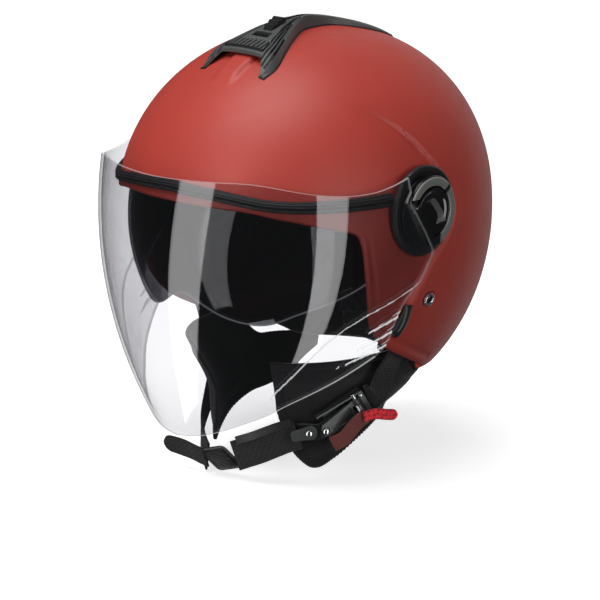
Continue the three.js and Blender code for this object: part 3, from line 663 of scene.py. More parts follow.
def woven(name, rgb, pitch_mm, depth_mm, rough=0.85, twill=True, sheen=0.25):
    """A narrow weave laid out on the mesh's own length and width."""
    made = Finish(name, Sheen_Weight=sheen, Sheen_Roughness=0.5)
    scale = 1000 / pitch_mm / WAVE_DIVISOR
    flat = made.place(uv=True)
    warp = made.waves(scale, "X", flat)
    weft = made.waves(scale, "Y", flat)
    slant = made.waves(scale / 1.2, "DIAGONAL", flat) if twill else weft
    threads = made.maths("MULTIPLY", made.maths("ADD", warp, weft), made.maths("ADD", slant, 0.4))
    made.colour(threads, (0.1, toned(rgb, 0.55)), (0.9, toned(rgb, 1.35)))
    made.rough(made.noise(300, 2), rough - 0.06, min(1, rough + 0.08))
    made.bump(threads, 0.9, depth_mm)


def fabric(name, rgb, pitch_mm, depth_mm, holes=False):
    """A knitted or brushed liner cloth, in object coordinates."""
    made = Finish(name, Sheen_Weight=0.35, Sheen_Roughness=0.45)
    per_metre = 1000 / pitch_mm
    knit = made.cells(per_metre, 0.12) if holes else made.noise(per_metre * 1.4, 3)
    made.colour(knit, (0.15, toned(rgb, 0.35)), (0.6, rgb))
    made.rough(made.noise(200, 2), 0.82, 0.98)
    made.bump(knit, 0.8, depth_mm)
    made.bump(made.noise(60, 2), 0.35, 0.6)


MIRROR_STRAIGHT_ON, MIRROR_GRAZING, MIRROR_POWER = 0.045, 0.7, 5.0


def pane(name, tint, mirror_rough):
    """A clear or smoked thin pane: what is behind it shows, less its tint, under a mirror gloss."""
    made = Finish(name)
    tree = made.tree
    clear = made.node("BsdfTransparent")
    clear.inputs["Color"].default_value = (*tint, 1)
    gloss = made.node("BsdfGlossy")
    gloss.inputs["Color"].default_value = (1, 1, 1, 1)
    haze = made.ranged(made.noise(14, 3), mirror_rough * 0.5, mirror_rough * 1.6)
    tree.links.new(haze, gloss.inputs["Roughness"])
    edge_on = made.node("LayerWeight")
    edge_on.inputs["Blend"].default_value = 0.5
    grazing = made.maths("POWER", edge_on.outputs["Facing"], MIRROR_POWER)
    mirror = made.maths("MULTIPLY_ADD", grazing, MIRROR_GRAZING)
    mirror.node.inputs[2].default_value = MIRROR_STRAIGHT_ON
    both = made.node("MixShader")
    for source, socket in zip((mirror, clear.outputs[0], gloss.outputs[0]), both.inputs):
        tree.links.new(source, socket)
    tree.links.new(both.outputs[0], surface_input(tree))
    tree.nodes.remove(made.shader)


def surface_input(tree):
    output = next(node for node in tree.nodes if node.type == "OUTPUT_MATERIAL")
    return output.inputs["Surface"]


# Name, colour, roughness, grain scale, grain depth in mm, and how far the colour varies.
plain("shell_red", (0.42, 0.046, 0.033), 0.46, 1400, 0.008, 0.03, Specular_IOR_Level=0.55)
# Black rubber for the brow seal, also used as painted shade in the rivets' holes.
plain("rubber_black", (0.014, 0.014, 0.015), 0.5, 900, 0.03, 0.2)
plain("satin_black", (0.014, 0.014, 0.015), 0.34, 1100, 0.003, 0.12)
plain("stop_black", (0.022, 0.025, 0.026), 0.3, 1100, 0.003, 0.12)
# A grey for the grip recess's sloping walls: a painted highlight where they face the light.
plain("grip_wall_painted_highlight", (0.09, 0.09, 0.088), 0.4, 1100, 0.003, 0.1)
# Pale glowing finishes for lens rims and crease walls: painted highlights and a painted glow.
plain("lens_edge_painted_glow", (0.78, 0.79, 0.8), 0.16, 300, 0.001, 0.04, Alpha=0.75, Emission_Strength=0.36)
plain("lens_faint_painted_glow", (0.78, 0.79, 0.8), 0.16, 300, 0.001, 0.04, Alpha=0.3, Emission_Strength=0.12)
plain("strip_black", (0.016, 0.016, 0.017), 0.45, 900, 0.02, 0.12)
plain("gloss_black", (0.004, 0.004, 0.0045), 0.12, 500, 0.0005, 0.1, Coat_Weight=0.6, Coat_Roughness=0.04)
plain("satin_grey", (0.25, 0.255, 0.235), 0.38, 1200, 0.008, 0.05, Metallic=0.35)
plain("vent_grey", (0.075, 0.077, 0.076), 0.42, 1300, 0.012, 0.06)
# Near black for the gaskets and lip, and also painted shade in the cover's grooves.
plain("vent_edge", (0.008, 0.008, 0.008), 0.5, 900, 0.01, 0.1)
plain("buckle_metal", (0.085, 0.088, 0.088), 0.36, 900, 0.008, 0.12, Metallic=0.4)
plain("chrome", (0.72, 0.73, 0.74), 0.14, 700, 0.002, 0.03, Metallic=1.0)
# Name, colour, pitch and depth in mm, then roughness, twill and sheen.
woven("webbing", (0.013, 0.013, 0.0135), 1.1, 0.16)
# The release ribbon's dark maroon is its red with painted shade in it.
woven("ribbon_maroon", (0.14, 0.032, 0.026), 0.7, 0.05, 0.6, False, 0.2)
woven("loop_red", (0.72, 0.02, 0.035), 1.7, 0.3, 0.7, True, 0.3)
fabric("liner_black", (0.012, 0.012, 0.013), 0.9, 0.12)
fabric("mesh_fabric", (0.028, 0.028, 0.030), 2.4, 0.5, True)
fabric("hem_fabric", (0.010, 0.010, 0.011), 0.7, 0.08)
pane("clear_lens", (0.84, 0.84, 0.85), 0.02)
pane("smoke_lens", (0.30, 0.30, 0.32), 0.03)


def bead_foam():
    made = Finish("foam_black")
    beads = made.cells(260)
    made.colour(beads, (0.05, (0.02, 0.02, 0.021)), (0.7, (0.006, 0.006, 0.007)))
    made.rough(made.noise(160, 2), 0.7, 0.9)
    made.bump(beads, 0.7, 0.4)


bead_foam()

# ---- Outer shell ----

SHELL_COLUMNS, SHELL_ROWS = 520, 170
POLE = unit(np.array([0.0, 0.62, 0.78]))
# The line along which the panel under the visor steps in, from the crown down past the hub.
STEP_LINE = [
    (-34, 77), (-24, 71), (-12, 63), (-3, 56), (6, 46.5), (13, 37.5), (21, 27), (32, 8), (33, -8),
    (24, -26), (9, -41), (0, -55), (-8, -74), (-18, -99), (-26, -118),
]
STEP_DEPTH = [(-34, 0), (-24, 0.8), (-12, 2.0), (6, 3.4), (21, 3.2), (33, 2.4)]
STEP_REACH, SINK_SHARE, SINK_LENGTH, STEP_LIP = (8, 64), 1.1, 15, 0.16
OVER_HUB = (4, 24)  # heights between which the level panel gives way to the sinking one
DIMPLE_DEPTH, RIDGE_HEIGHT = 2.4, 2.6
BAND_HEIGHT, BAND_CHANNEL = 0.9, 0.5
BROW_POINTS, BROW_END, REAR_POINTS, SIDE_END_Y = 70, -48, 60, 51


def shell_edge_loop(count, edge=SHELL_EDGE):
    """Evenly spaced points round the whole edge, from the middle of the brow past +X."""
    line = curve(edge)
    z = np.full(BROW_POINTS, 10.5)
    angles = np.radians(np.linspace(-90, BROW_END, BROW_POINTS))
    # The height depends on how far back a point is, and that on its height: a few rounds settle both.
    for _ in range(8):
        front = shell_point(angles, z)
        z = np.interp(front[:, 1], line[:, 0], line[:, 1])
    middle = line[(line[:, 0] > front[-1, 1] + 1) & (line[:, 0] < SIDE_END_Y)]
    sides = shell_side(middle[:, 0], middle[:, 1])
    start = math.atan2(sides[-1, 1] - CENTRE[1], sides[-1, 0])
    rear = shell_point(np.linspace(start + 0.02, np.pi / 2, REAR_POINTS), edge[-1][1])
    half = np.vstack([front, sides, rear])
    half = along(half, np.linspace(0, 1, count // 2 + 1))
    other = half[-2:0:-1] * np.array([-1, 1, 1])
    return np.vstack([half, other])


HUB_SEAT_X = 119.3


def step_relief(x, y, z):
    """How far the panel in front of the line is sunk, at +X places: most beside the line."""
    gap = -side_distance(y, z, STEP_LINE)
    along_y = np.where(z > 0, y, 33 - 0.25 * np.abs(z))
    fade_low = np.where(z < -30, ease(z, -112, -30) * 0.5 + 0.3, 1)
    depth = np.interp(along_y, *zip(*STEP_DEPTH)) * fade_low
    inside = ease(gap, -1, 6) * (1 - ease(gap, *STEP_REACH))
    lip = STEP_LIP * bell(gap, -3.2, 3.0)
    # Over the hub the panel sinks towards the line, and round and under it the panel is level.
    sink = SINK_SHARE * ease(gap, -0.6, 2.0) * np.exp(-np.maximum(gap, 0) / SINK_LENGTH)
    return -depth * mix(inside - lip, sink, ease(z, *OVER_HUB)) * ease(x, 60, 84)


def shell_relief(p):
    """How far the outer face stands proud at each point: step line, rivet dimples, intake ridge."""
    x, y, z = np.abs(p[..., 0]), p[..., 1], p[..., 2]
    rivet = np.linalg.norm(np.stack([x, y, z], -1) - RIVET_POINT, axis=-1)
    dimple = -DIMPLE_DEPTH * (1 - ease(rivet, 3.4, 7.2))
    ridge = RIDGE_HEIGHT * ease(y, -76, -62) * (1 - ease(x, 7.5, 9.5)) * (z > 60) * (1 - ease(y, -44, -36))
    return step_relief(x, y, z) + dimple + ridge


def hub_seat(points):
    """The outer face pressed flat under each hub, in place."""
    x = points[..., 0]
    reach = np.hypot(points[..., 1], points[..., 2])
    seat = HUB_SEAT_X + 3 * ease(reach, HUB_RADIUS + 0.3, HUB_RADIUS + 2.4)
    points[..., 0] = np.sign(x) * np.minimum(np.abs(x), seat)


RIVET_DIRECTION = unit(np.array([0.975, -0.03, -0.222]))
RIVET_POINT = shell_point(-math.asin(0.072), -66.0)


def shell_columns(edge, shares):
    """Directions at shares of the way from the pole towards each edge point."""
    ends = unit(edge - CENTRE)
    angle = np.arccos(np.clip(ends @ POLE, -1, 1))[:, None]
    a = np.sin((1 - shares) * angle) / np.sin(angle)
    b = np.sin(shares * angle) / np.sin(angle)
    return unit(a[..., None] * POLE + b[..., None] * ends[:, None, :])


SHELL_MEAN_RADIUS, SHELL_LIP = 132.0, 1.8


def rolled_band(points, off_edge):
    """A raised band round the sides of the opening, with a shallow channel behind it."""
    roll = BAND_HEIGHT * bell(off_edge, 3.4, 2.2) - BAND_CHANNEL * bell(off_edge, 9, 2.6)
    return roll * (1 - ease(points[..., 2], -30, -5)) * (points[..., 1] < 40)


def outer_shell():
    """One skin from the pole down the outside, round the edge's lip and back up the inside."""
    edge = shell_edge_loop(SHELL_COLUMNS)
    angle = np.arccos(np.clip(unit(edge - CENTRE) @ POLE, -1, 1))
    pull = SHELL_LIP / (SHELL_MEAN_RADIUS * angle)[:, None]
    first = 1 / SHELL_ROWS
    outer_t = first + (1 - pull - first) * np.linspace(0, 1, SHELL_ROWS)[None, :]
    turn = np.radians([22, 45, 68, 90, 112, 135, 158])[None, :]
    lip_t = 1 - pull * (1 - np.sin(turn))
    lip_grow = np.broadcast_to(-SHELL_THICKNESS / 2 * (1 - np.cos(turn)), lip_t.shape)
    inner_t = outer_t[:, ::-6]
    grow = np.hstack([np.zeros_like(outer_t), lip_grow, np.full_like(inner_t, -SHELL_THICKNESS)])
    points = star_point(shell_columns(edge, np.hstack([outer_t, lip_t, inner_t])), grow)

    outer = points[:, :SHELL_ROWS]
    off_edge = (1 - outer_t) * SHELL_MEAN_RADIUS * angle[:, None]
    relief = shell_relief(outer) + rolled_band(outer, off_edge)
    relief = relief * (1 - ease(np.linspace(0, 1, SHELL_ROWS), 0.985, 1))[None, :]
    outer += unit(outer - CENTRE) * relief[..., None]
    hub_seat(outer)
    poles = np.vstack([star_point(POLE[None], 0), star_point(POLE[None], -SHELL_THICKNESS)])
    piece("shell", *capped(points, poles), "shell_red", "helmet", ["outer_shell"], angle=40)


outer_shell()

# ---- Visor ----

# The crease round the lower wing, and the flutes behind it, in the side view.
WING_CREASE = [
    (4, -45), (-6, -49.3), (-27, -57.6), (-50.3, -65.9), (-64, -73.4),
    (-75.8, -83.7), (-83, -95), (-90, -108), (-95.3, -119), (-102, -138),
]
WING_DEPTH, FLUTE_DEPTH, FLUTE_HALF_WIDTH = 1.1, 0.9, 2.2
FLUTES = [((-20, -69.8), (-46.4, -80.9)), ((-21, -79.8), (-53.3, -93.4)), ((-22, -89.6), (-61.5, -103.6))]


def visor_point(degrees, z, inset):
    half_width = VISOR_HALF_WIDTH * np.sqrt(1 - (z / VISOR_FADE) ** 2) - inset
    depth = visor_depth(z) - inset
    angle = np.radians(degrees)
    return np.stack([half_width * np.sin(angle), -depth * np.cos(angle), z], -1)


def visor_depth(z):
    return VISOR_FRONT - (z - VISOR_BULGE_Z) ** 2 / VISOR_BULGE_FADE


def visor_rear():
    """The whole rear edge as (degrees, z), straight between the ear's corners."""
    ear = np.array(VISOR_EAR, float)
    turned = np.stack([np.degrees(np.arccos(-ear[:, 0] / visor_depth(ear[:, 1]))), ear[:, 1]], -1)
    return np.vstack([turned, curve(VISOR_REAR)])


def visor_spot(u, v):
    """(degrees, z) of one half: a patch between its four edges."""
    top, bottom = along(curve(VISOR_TOP), u), along(curve(VISOR_BOTTOM), u)
    rear = along(visor_rear(), v)
    straight = mix(np.array(VISOR_TOP[-1], float), np.array(VISOR_BOTTOM[-1], float), v[..., None])
    return mix(top, bottom, v[..., None]) + u[..., None] * (rear - straight)


def visor_relief(p):
    """Inward depth of the wing's step and flutes."""
    y, z = p[..., 1], p[..., 2]
    gap = side_distance(y, z, WING_CREASE)
    wing = ease(gap, -0.9, 0.9) * (1 - ease(gap, 9, 34)) * ease(np.abs(p[..., 0]), 60, 72)
    grooves = 0.0
    for (ay, az), (by, bz) in FLUTES:
        dy, dz = by - ay, bz - az
        t = ((y - ay) * dy + (z - az) * dz) / (dy * dy + dz * dz)
        off = np.abs((y - ay) * dz - (z - az) * dy) / math.hypot(dy, dz)
        width = FLUTE_HALF_WIDTH * np.clip(1 - t, 0.08, 1)
        grooves = grooves + (1 - ease(off / width, 0.55, 1)) * ease(t, -0.06, 0.0) * (1 - ease(t, 0.9, 1))
    return WING_DEPTH * wing + FLUTE_DEPTH * grooves * (np.abs(p[..., 0]) > 60)


def face_visor():
    u, v = grids(361, 161)
    side = 2 * u - 1
    spot = visor_spot(np.abs(side), v)
    sign = np.where(side < 0, -1, 1)
    sheets = []
    for inset in (0.0, VISOR_THICKNESS):
        p = visor_point(spot[..., 0] * sign, spot[..., 1], inset)
        away = unit(p * np.array([1, 1, 0.15]))
        sheets.append(p - away * visor_relief(p)[..., None])
    mesh = panel_mesh(*sheets)
    made = piece("visor_pane", *mesh, "clear_lens", "visor", ["visor"], bevel=0.4, angle=55)
    visor_edges(made, mesh, u.shape)


WALL_DROP = 0.16  # a face whose relief changes by more than this is a wall


def visor_edges(made, mesh, shape):
    """The lower rim and the walls of the crease and flutes take a pale glowing finish, a painted highlight,
    and the other rims a fainter one.
    """
    points, faces = mesh
    rim = rim_start(shape)
    drop = np.ptp(visor_relief(points[np.array(faces[: rim // 2])]), axis=1)
    walls = np.where(drop > WALL_DROP)[0]
    along_top = rim + 2 * (shape[1] - 1)
    lower = np.arange(along_top + 1, len(faces), 2)
    upper = np.arange(along_top, len(faces), 2)
    second_finish(made, "lens_edge_painted_glow", np.concatenate([walls, lower]))
    second_finish(made, "lens_faint_painted_glow", np.concatenate([np.arange(rim, along_top), upper]))


face_visor()

# ---- Sun visor ----


def lens_point(angle, hinge, inset):
    power = 2 / PLAN_POWER
    radius = (LENS_RADIUS - inset) * np.abs(np.cos(angle)) ** power
    x = np.sign(angle) * np.abs(np.sin(angle)) ** power * (LENS_HALF_WIDTH - inset)
    turn = np.radians(hinge)
    return np.stack([x, -radius * np.cos(turn), LENS_Z + radius * np.sin(turn)], -1)


LENS_SWEEP = math.radians(87)
EYE_INNER, EYE_OUTER, EYE_FACE_X, EYE_BACK_X = 2.8, 11, 103.4, 105.8


def sun_visor():
    """The smoked lens with the eye at each end that it turns on."""
    u, v = grids(161, 33)
    side = 2 * u - 1
    sweep = np.abs(side)
    low = by_index(LENS_LOWER, sweep)[..., 1]
    top = mix(LENS_TOP, LENS_TOP + 8, sweep**6)
    sheets = [lens_point(side * LENS_SWEEP, mix(top, low, v), inset) for inset in (0.0, LENS_THICKNESS)]
    eye = lathe(round_profile([
        (EYE_INNER, EYE_FACE_X), (EYE_OUTER, EYE_FACE_X), (EYE_OUTER, EYE_BACK_X), (EYE_INNER, EYE_BACK_X),
        (EYE_INNER, EYE_FACE_X),
    ], 0.3))
    sheet = panel_mesh(*sheets)
    mesh = merged(sheet, *(to_x(eye, side_sign, LENS_Z) for side_sign in (1, -1)))
    lens = piece("sun_visor_lens", *mesh, "smoke_lens", "sun_visor", ["sun_visor"], bevel=0.4, angle=50)
    # The lens's rim takes the pale glowing finish: a painted highlight.
    second_finish(lens, "lens_edge_painted_glow", np.arange(rim_start(u.shape), len(sheet[1])))


sun_visor()

# ---- Brow seal and side stops ----

SEAL_LOWER = [(0, 7.7), (11, 7.7), (23, 9.7), (47, 15), (70, 17.5)]
SEAL_END, SEAL_RIBS, SEAL_PROUD = 18.6, 5, 3.4
SEAL_HEIGHT = [(0, 9), (11, 8.4), (23, 7.4), (47, 7.2), (70, 7.4)]


def brow_seal():
    """A rubber strip with five fine ribs, a groove along it and rounded edges."""
    u, v = grids(321, 49)
    share = 1 - np.abs(2 * u - 1)
    z = by_index(SEAL_LOWER, share)[..., 1] + (1 - v) * by_index(SEAL_HEIGHT, share)[..., 1]
    angle = np.radians(mix(-SEAL_END, SEAL_END - 180, u))
    crown = SEAL_PROUD - 1.5 * np.abs(2 * v - 1) ** 3
    ribs = 0.32 * np.sin(v * SEAL_RIBS * 2 * np.pi) * ease(np.minimum(v, 1 - v), 0.02, 0.08)
    groove_line = -1.3 * bell(v, 0.62, 0.05)
    outer = shell_point(angle, z, crown + ribs + groove_line)
    mesh = panel_mesh(outer, shell_point(angle, z, 0.4))
    piece("brow_seal_strip", *mesh, "rubber_black", "helmet", ["brow_seal"], bevel=0.35, angle=60)


brow_seal()

# The stops' long edges in the side view, from top to bottom: one straight, one with a corner.
STOP_FRONT = ((-11.3, -65.2), (-18.9, -85.6))
STOP_REAR = ((-4.8, -66.8), (-7.8, -80.0), (-12.2, -90.8))
STOP_CORNER = 0.55  # share of the way down at which the rear edge turns


def side_stops():
    """Rounded wedges on the shell, widest towards the lower end."""
    across, down = grids(25, 61)
    share = down[..., None]
    front = mix(*np.array(STOP_FRONT), share)
    top, corner, foot = np.array(STOP_REAR)
    above = mix(top, corner, share / STOP_CORNER)
    below = mix(corner, foot, (share - STOP_CORNER) / (1 - STOP_CORNER))
    place = mix(front, np.where(share < STOP_CORNER, above, below), across[..., None])
    swell = np.sin(np.pi * across) * np.sin(np.pi * np.clip(down, 0.02, 0.98))
    height = 0.35 + (2.2 + 3.0 * down) * np.sqrt(np.clip(swell, 0, 1)) ** 0.7
    y, z = place[..., 0], place[..., 1]
    mesh = panel_mesh(shell_side(y, z, height), shell_side(y, z, 0.0))
    both_sides("visor_stop", mesh, "stop_black", "helmet", "side_stop", angle=50)


side_stops()

# ---- Hubs ----

CAP_EDGE = [(-40, 9.5), (-19.5, 10.2), (3, -23.4), (7, -40), (40, -40), (40, 40), (-40, 40)]
ARC_SHOWN = [(-40, 13), (-12, 12), (0, 0), (9.5, -14), (8, -40), (40, -40), (40, 40), (-40, 40)]
HUB_FOOT_X, HUB_SEGMENTS = 117.5, 128
HUB_TAB = ((-3.4, -1.3, 119.2), (3.4, 1.3, 120.9))
HUB_TAB_TURN, HUB_TAB_REACH = 128, 31.3
CAP_FOOT_X = 121.5
ARC_GAP = [(13.4, 9.8), (26.6, 18.4), (24.4, 22.4), (11.6, 13.4)]


def turned_about_z(degrees, reach):
    """Moves a block out to a radius and turns it about +Z, facing round the ring."""
    turn = Matrix.Rotation(math.radians(degrees), 4, "Z")
    across = Matrix.Rotation(math.pi / 2, 4, "Z")
    return np.array(turn @ Matrix.Translation((reach, 0, 0)) @ across)


def hub_base(side, word):
    """The seat on the shell: a floor in a rounded rim that leans, with a tab at its upper front."""
    outer, inner = HUB_RADIUS, HUB_RADIUS - HUB_RIM_WIDTH
    points, faces = lathe(round_profile([
        (0, HUB_FOOT_X), (outer, HUB_FOOT_X), (outer, HUB_RIM_X - 1.1), (outer - 1.3, HUB_RIM_X),
        (inner + 1.2, HUB_RIM_X - 0.1), (inner, HUB_RIM_X - 0.9), (inner, HUB_FLOOR_X), (0, HUB_FLOOR_X),
    ], 0.8), HUB_SEGMENTS)
    points[:, 2] += HUB_RIM_LEAN * (points[:, 0] - points[:, 1])
    tab = moved(block(*HUB_TAB), turned_about_z(HUB_TAB_TURN, HUB_TAB_REACH))
    mesh = to_x(merged((points, faces), tab), side)
    nodes = [f"pivot_base_{word}", f"pivot_pin_{word}"]
    piece(f"hub_base_{word}", *mesh, "satin_black", "helmet", nodes, bevel=0.25, angle=50)


def hub_cap(side, word):
    """The turning cap. From its rim: the arc's seat, a dark channel, a raised ridge, a dished middle."""
    flange = disc(COVER_RADIUS, 121.1, 122.2, 0.3, HUB_SEGMENTS)
    cap = lathe(round_profile([
        (0, 122.0), (COVER_RADIUS, 122.0),
        (COVER_RADIUS, COVER_TOP_X - 0.6), (COVER_RADIUS - 0.6, COVER_TOP_X),
        (18.2, COVER_TOP_X), (18.0, COVER_TOP_X - 1.6), (17.4, COVER_TOP_X - 1.6), (17.0, COVER_TOP_X + 0.7),
        (15.2, COVER_TOP_X + 0.6), (13.6, COVER_TOP_X - 0.6), (0, COVER_TOP_X - 0.4),
    ], 0.4), HUB_SEGMENTS)
    cap = carve(to_x(cap), [grip_tool()], prism(CAP_EDGE, CAP_FOOT_X, FAR))
    boss = disc(9, CAP_FOOT_X, 124.2, 0.4, 64)
    mesh = on_side(merged(to_x(flange), to_x(boss), cap), side)
    made = piece(f"hub_cap_{word}", *mesh, "gloss_black", "visor", [f"hub_cover_{word}"], bevel=0.2, angle=40)
    # The recess's upper rear walls are painted grey on the black cap: a painted highlight.
    walls = [k for k, face in enumerate(mesh[1]) if on_grip_wall(mesh[0][list(face)])]
    second_finish(made, "grip_wall_painted_highlight", walls)


def hub_band(side, word):
    """The grey arc on the cap, with its gap."""
    foot = COVER_TOP_X - 0.6
    band = lathe(round_profile([
        (ARC_INSIDE, foot), (ARC_OUTSIDE, foot),
        (ARC_OUTSIDE, ARC_TOP_X - 0.7), (ARC_OUTSIDE - 0.9, ARC_TOP_X),
        (ARC_INSIDE + 0.9, ARC_TOP_X), (ARC_INSIDE, ARC_TOP_X - 0.5), (ARC_INSIDE, foot),
    ], 0.4), HUB_SEGMENTS)
    mesh = carve(to_x(band), [prism(ARC_GAP, 120, FAR)], prism(ARC_SHOWN, 120, FAR))
    mesh = on_side(mesh, side)
    piece(f"hub_band_{word}", *mesh, "satin_grey", "visor", [f"hub_arc_{word}"], bevel=0.3, angle=40)


GRIP_LOW = [(-6.2, 7.2), (1.1, 7.0), (8.6, -1.5), (9.8, -5.2), (8, -10), (-1, -13), (-13, 3)]
GRIP_TOP = [(-8.4, 8.2), (2.8, 11.2), (7.0, 8.4), (14.6, -1.7), (14.0, -8.0), (4, -19.5), (-19, 4.5)]
GRIP_FLOOR_X, GRIP_RIM_X = 124.4, 128.0


def grip_tool():
    """The recess that a thumb turns, under a sloping wall along its upper rear side."""
    low = np.array([(GRIP_FLOOR_X, y, z) for y, z in GRIP_LOW])
    top = np.array([(GRIP_RIM_X, y, z) for y, z in GRIP_TOP])
    n = len(low)
    sides = [(k, n + k, n + (k + 1) % n, (k + 1) % n) for k in range(n)]
    faces = [tuple(range(n)), tuple(range(2 * n - 1, n - 1, -1))] + sides
    return np.vstack([low, top]), faces


def on_grip_wall(corners):
    """Whether a face is one of the recess's sloping walls at the top and rear."""
    across = np.abs(corners[:, 0])
    y, z = corners[:, 1].mean(), corners[:, 2].mean()
    reach = math.hypot(*np.abs(corners[:, 1:]).mean(0))
    deep = GRIP_FLOOR_X + 0.05 < across.mean() < COVER_TOP_X - 0.1
    return deep and np.ptp(across) > 1.2 and reach < 14.5 and y + z > 0.5


for side, word in ((1, "left"), (-1, "right")):
    hub_base(side, word)
    hub_cap(side, word)
    hub_band(side, word)

# ---- Crown vent, shutter and slider ----

VENT_HALF_WIDTH = [
    (-61, 28.6), (-49, 29.5), (-31, 22), (-10, 12), (6, 5), (22, 4.4),
    (36, 8), (47, 17), (60, 23), (78, 25), (96, 12),
]
VENT_CREST = [
    (-61, 94.2), (-50, 104), (-38, 108.6), (-26, 113), (-14, 116.9), (-2, 119), (8, 119.5), (19, 118.8),
    (41, 114.8), (63, 108.6), (82, 100.6), (96, 93.4),
]
VENT_RISE = [
    (-1.0, 0.2), (-0.93, 0.72), (-0.8, 0.95), (-0.6, 1.0), (0.6, 1.0), (0.8, 0.95), (0.93, 0.72), (1.0, 0.2),
]
VENT_FRONT, VENT_REAR = -61, 96
GROOVE_HALF_WIDTH, GROOVE_DEPTH, GROOVE_COUNT, GROOVE_PITCH = 0.9, 1.5, 8, 3.7
# The side grooves, as (share of the half width, front, rear).
SIDE_GROOVES = ((0.56, -50, 4), (0.67, -56, 8), (0.78, -58, -8), (0.88, -58, -26))
VENT_MOUTH = [(-18, -51.5), (-25.6, -61.5), (-25.6, -70), (25.6, -70), (25.6, -61.5), (18, -51.5)]
SLIDER_SLOT = ((-1.8, -22.5, 90), (1.8, 12.5, 130))
SHUTTER_WINDOW = ((-7.4, -34, 90), (7.4, -27.6, 130))


def vent_grooves(x, y, half):
    """Depth of the long grooves: a row down the middle and more curving back along each side."""
    depth = 0.0
    share = np.abs(x / half)
    for k in range(GROOVE_COUNT):
        off = np.abs(x - (k - (GROOVE_COUNT - 1) / 2) * GROOVE_PITCH)
        depth = np.maximum(depth, groove(off) * ease(y, -49.5, -48.5) * (1 - ease(y, -37, -36)))
    for level, front, rear in SIDE_GROOVES:
        off = np.abs(share - level) * half
        depth = np.maximum(depth, groove(off) * ease(y, front, front + 1.5) * (1 - ease(y, rear - 3, rear)))
    return GROOVE_DEPTH * depth


def groove(off):
    return 1 - ease(off, 0.35, GROOVE_HALF_WIDTH)


def vent_sheet(x, y, grow):
    """Points over the crown, a height above the shell."""
    return np.stack([x, y, crown_height(x, y, grow)], -1)


def vent_cover():
    """The grooved cover, with its mouth, the knob's slot and the shutter's window cut out."""
    u, v = grids(315, 121)
    y = mix(VENT_FRONT, VENT_REAR, u)
    across = 2 * v - 1
    half = value_at(VENT_HALF_WIDTH, y)
    x = across * half
    rise = np.interp(across, *zip(*VENT_RISE))
    outside = np.maximum(1.2, (value_at(VENT_CREST, y) - crown_height(0 * y, y)) * rise)
    inside = np.where(np.abs(across) < 0.9, np.maximum(0.3, outside - 2.2), 0.3)
    skin = panel_mesh(vent_sheet(x, y, outside - vent_grooves(x, y, half)), vent_sheet(x, y, inside))
    mesh = carve(skin, [prism(VENT_MOUTH, 60, 130, "Z"), block(*SLIDER_SLOT), block(*SHUTTER_WINDOW)])
    cover = piece("vent_cover_skin", *mesh, "vent_grey", "helmet", ["vent_cover"], angle=30)
    middles = face_middles(*mesh)
    cut = vent_grooves(middles[:, 0], middles[:, 1], value_at(VENT_HALF_WIDTH, middles[:, 1]))
    # Faces deep in the grooves are painted near black: painted shade in the grooves.
    second_finish(cover, "vent_edge", np.where((cut > 0.5 * GROOVE_DEPTH) & (middles[:, 2] > 60))[0])


def vent_gaskets():
    """A black gasket shows as a line round the foot of the cover."""
    w, k = grids(240, 9)
    y = mix(VENT_FRONT - 1.0, VENT_REAR + 1.0, w)
    x = value_at(VENT_HALF_WIDTH, np.clip(y, VENT_FRONT, VENT_REAR)) + 0.9 - 5.0 * k
    mesh = panel_mesh(vent_sheet(x, y, 0.9 - 0.5 * (k < 0.1)), vent_sheet(x, y, 0.05))
    both_sides("vent_gasket", mesh, "vent_edge", "helmet")


def vent_lip():
    """The set-back lip under the front of the deck."""
    w, k = grids(41, 9)
    x = mix(-17.4, 17.4, w)
    top = crown_height(x, -50.0 + 0 * x, 9.2)
    front = np.stack([x, -50.2 + 0.8 * k, top - 4.6 * k], -1)
    piece("vent_lip", *panel_mesh(front, front + np.array([0, 1.6, 0])), "vent_edge", "helmet", bevel=0.3)


vent_cover()
vent_gaskets()
vent_lip()


def slider_rest(y, lift):
    """A point of the arc that the slider follows over the crown."""
    return np.array([y, 38 + math.sqrt((81.9 + lift) ** 2 - (y - 6.5) ** 2)])


KNOB_HALF, STEM_HALF, RUNNER_HALF, SHUTTER_HALF, RIB_HALF = 4.7, 1.3, 3.6, 9, 6.6


def along_arc(*places):
    """Outline points at lifts over the arc that the slider follows."""
    return [slider_rest(y, lift) for y, lift in places]


def over_crown(*places):
    """Outline points at heights over the crown's middle line."""
    return [(y, float(crown_height(0.0, y)) + lift) for y, lift in places]


def slider():
    """The sun visor's knob, stepped in three ridges, on its stem and runner."""
    outline = along_arc((-25.4, 0.4), (-18, 0.4), (-11.2, 0.4), (-11, 1.4))
    for y, lift in ((-12.4, 3.9), (-16.6, 3.5), (-20.8, 2.8)):
        outline += along_arc((y, lift - 0.7), (y - 0.9, lift), (y - 2.6, lift - 0.3), (y - 3.5, lift - 1.5),
                             (y - 4.0, lift - 2.6))
    body = prism(outline + along_arc((-25.8, 0.8)), -KNOB_HALF, KNOB_HALF)
    body[0][:, 0] *= 0.86 + 0.14 * ease(body[0][:, 1], -26, -12)
    stem = prism(along_arc((-20.5, -6.2), (-15.5, -6.2), (-15.5, 1.5), (-20.5, 1.5)), -STEM_HALF, STEM_HALF)
    knob = merged(body, stem)
    piece("slider_thumb_knob", *knob, "satin_black", "slider", ["slider_knob"], bevel=0.55, angle=25)
    runner = along_arc((-23, -8.2), (-18, -8.2), (-13, -8.2), (-13, -6.6), (-18, -6.6), (-23, -6.6))
    runner = prism(runner, -RUNNER_HALF, RUNNER_HALF)
    piece("slider_runner", *runner, "satin_black", "slider", ["slider_carrier"], bevel=0.3)


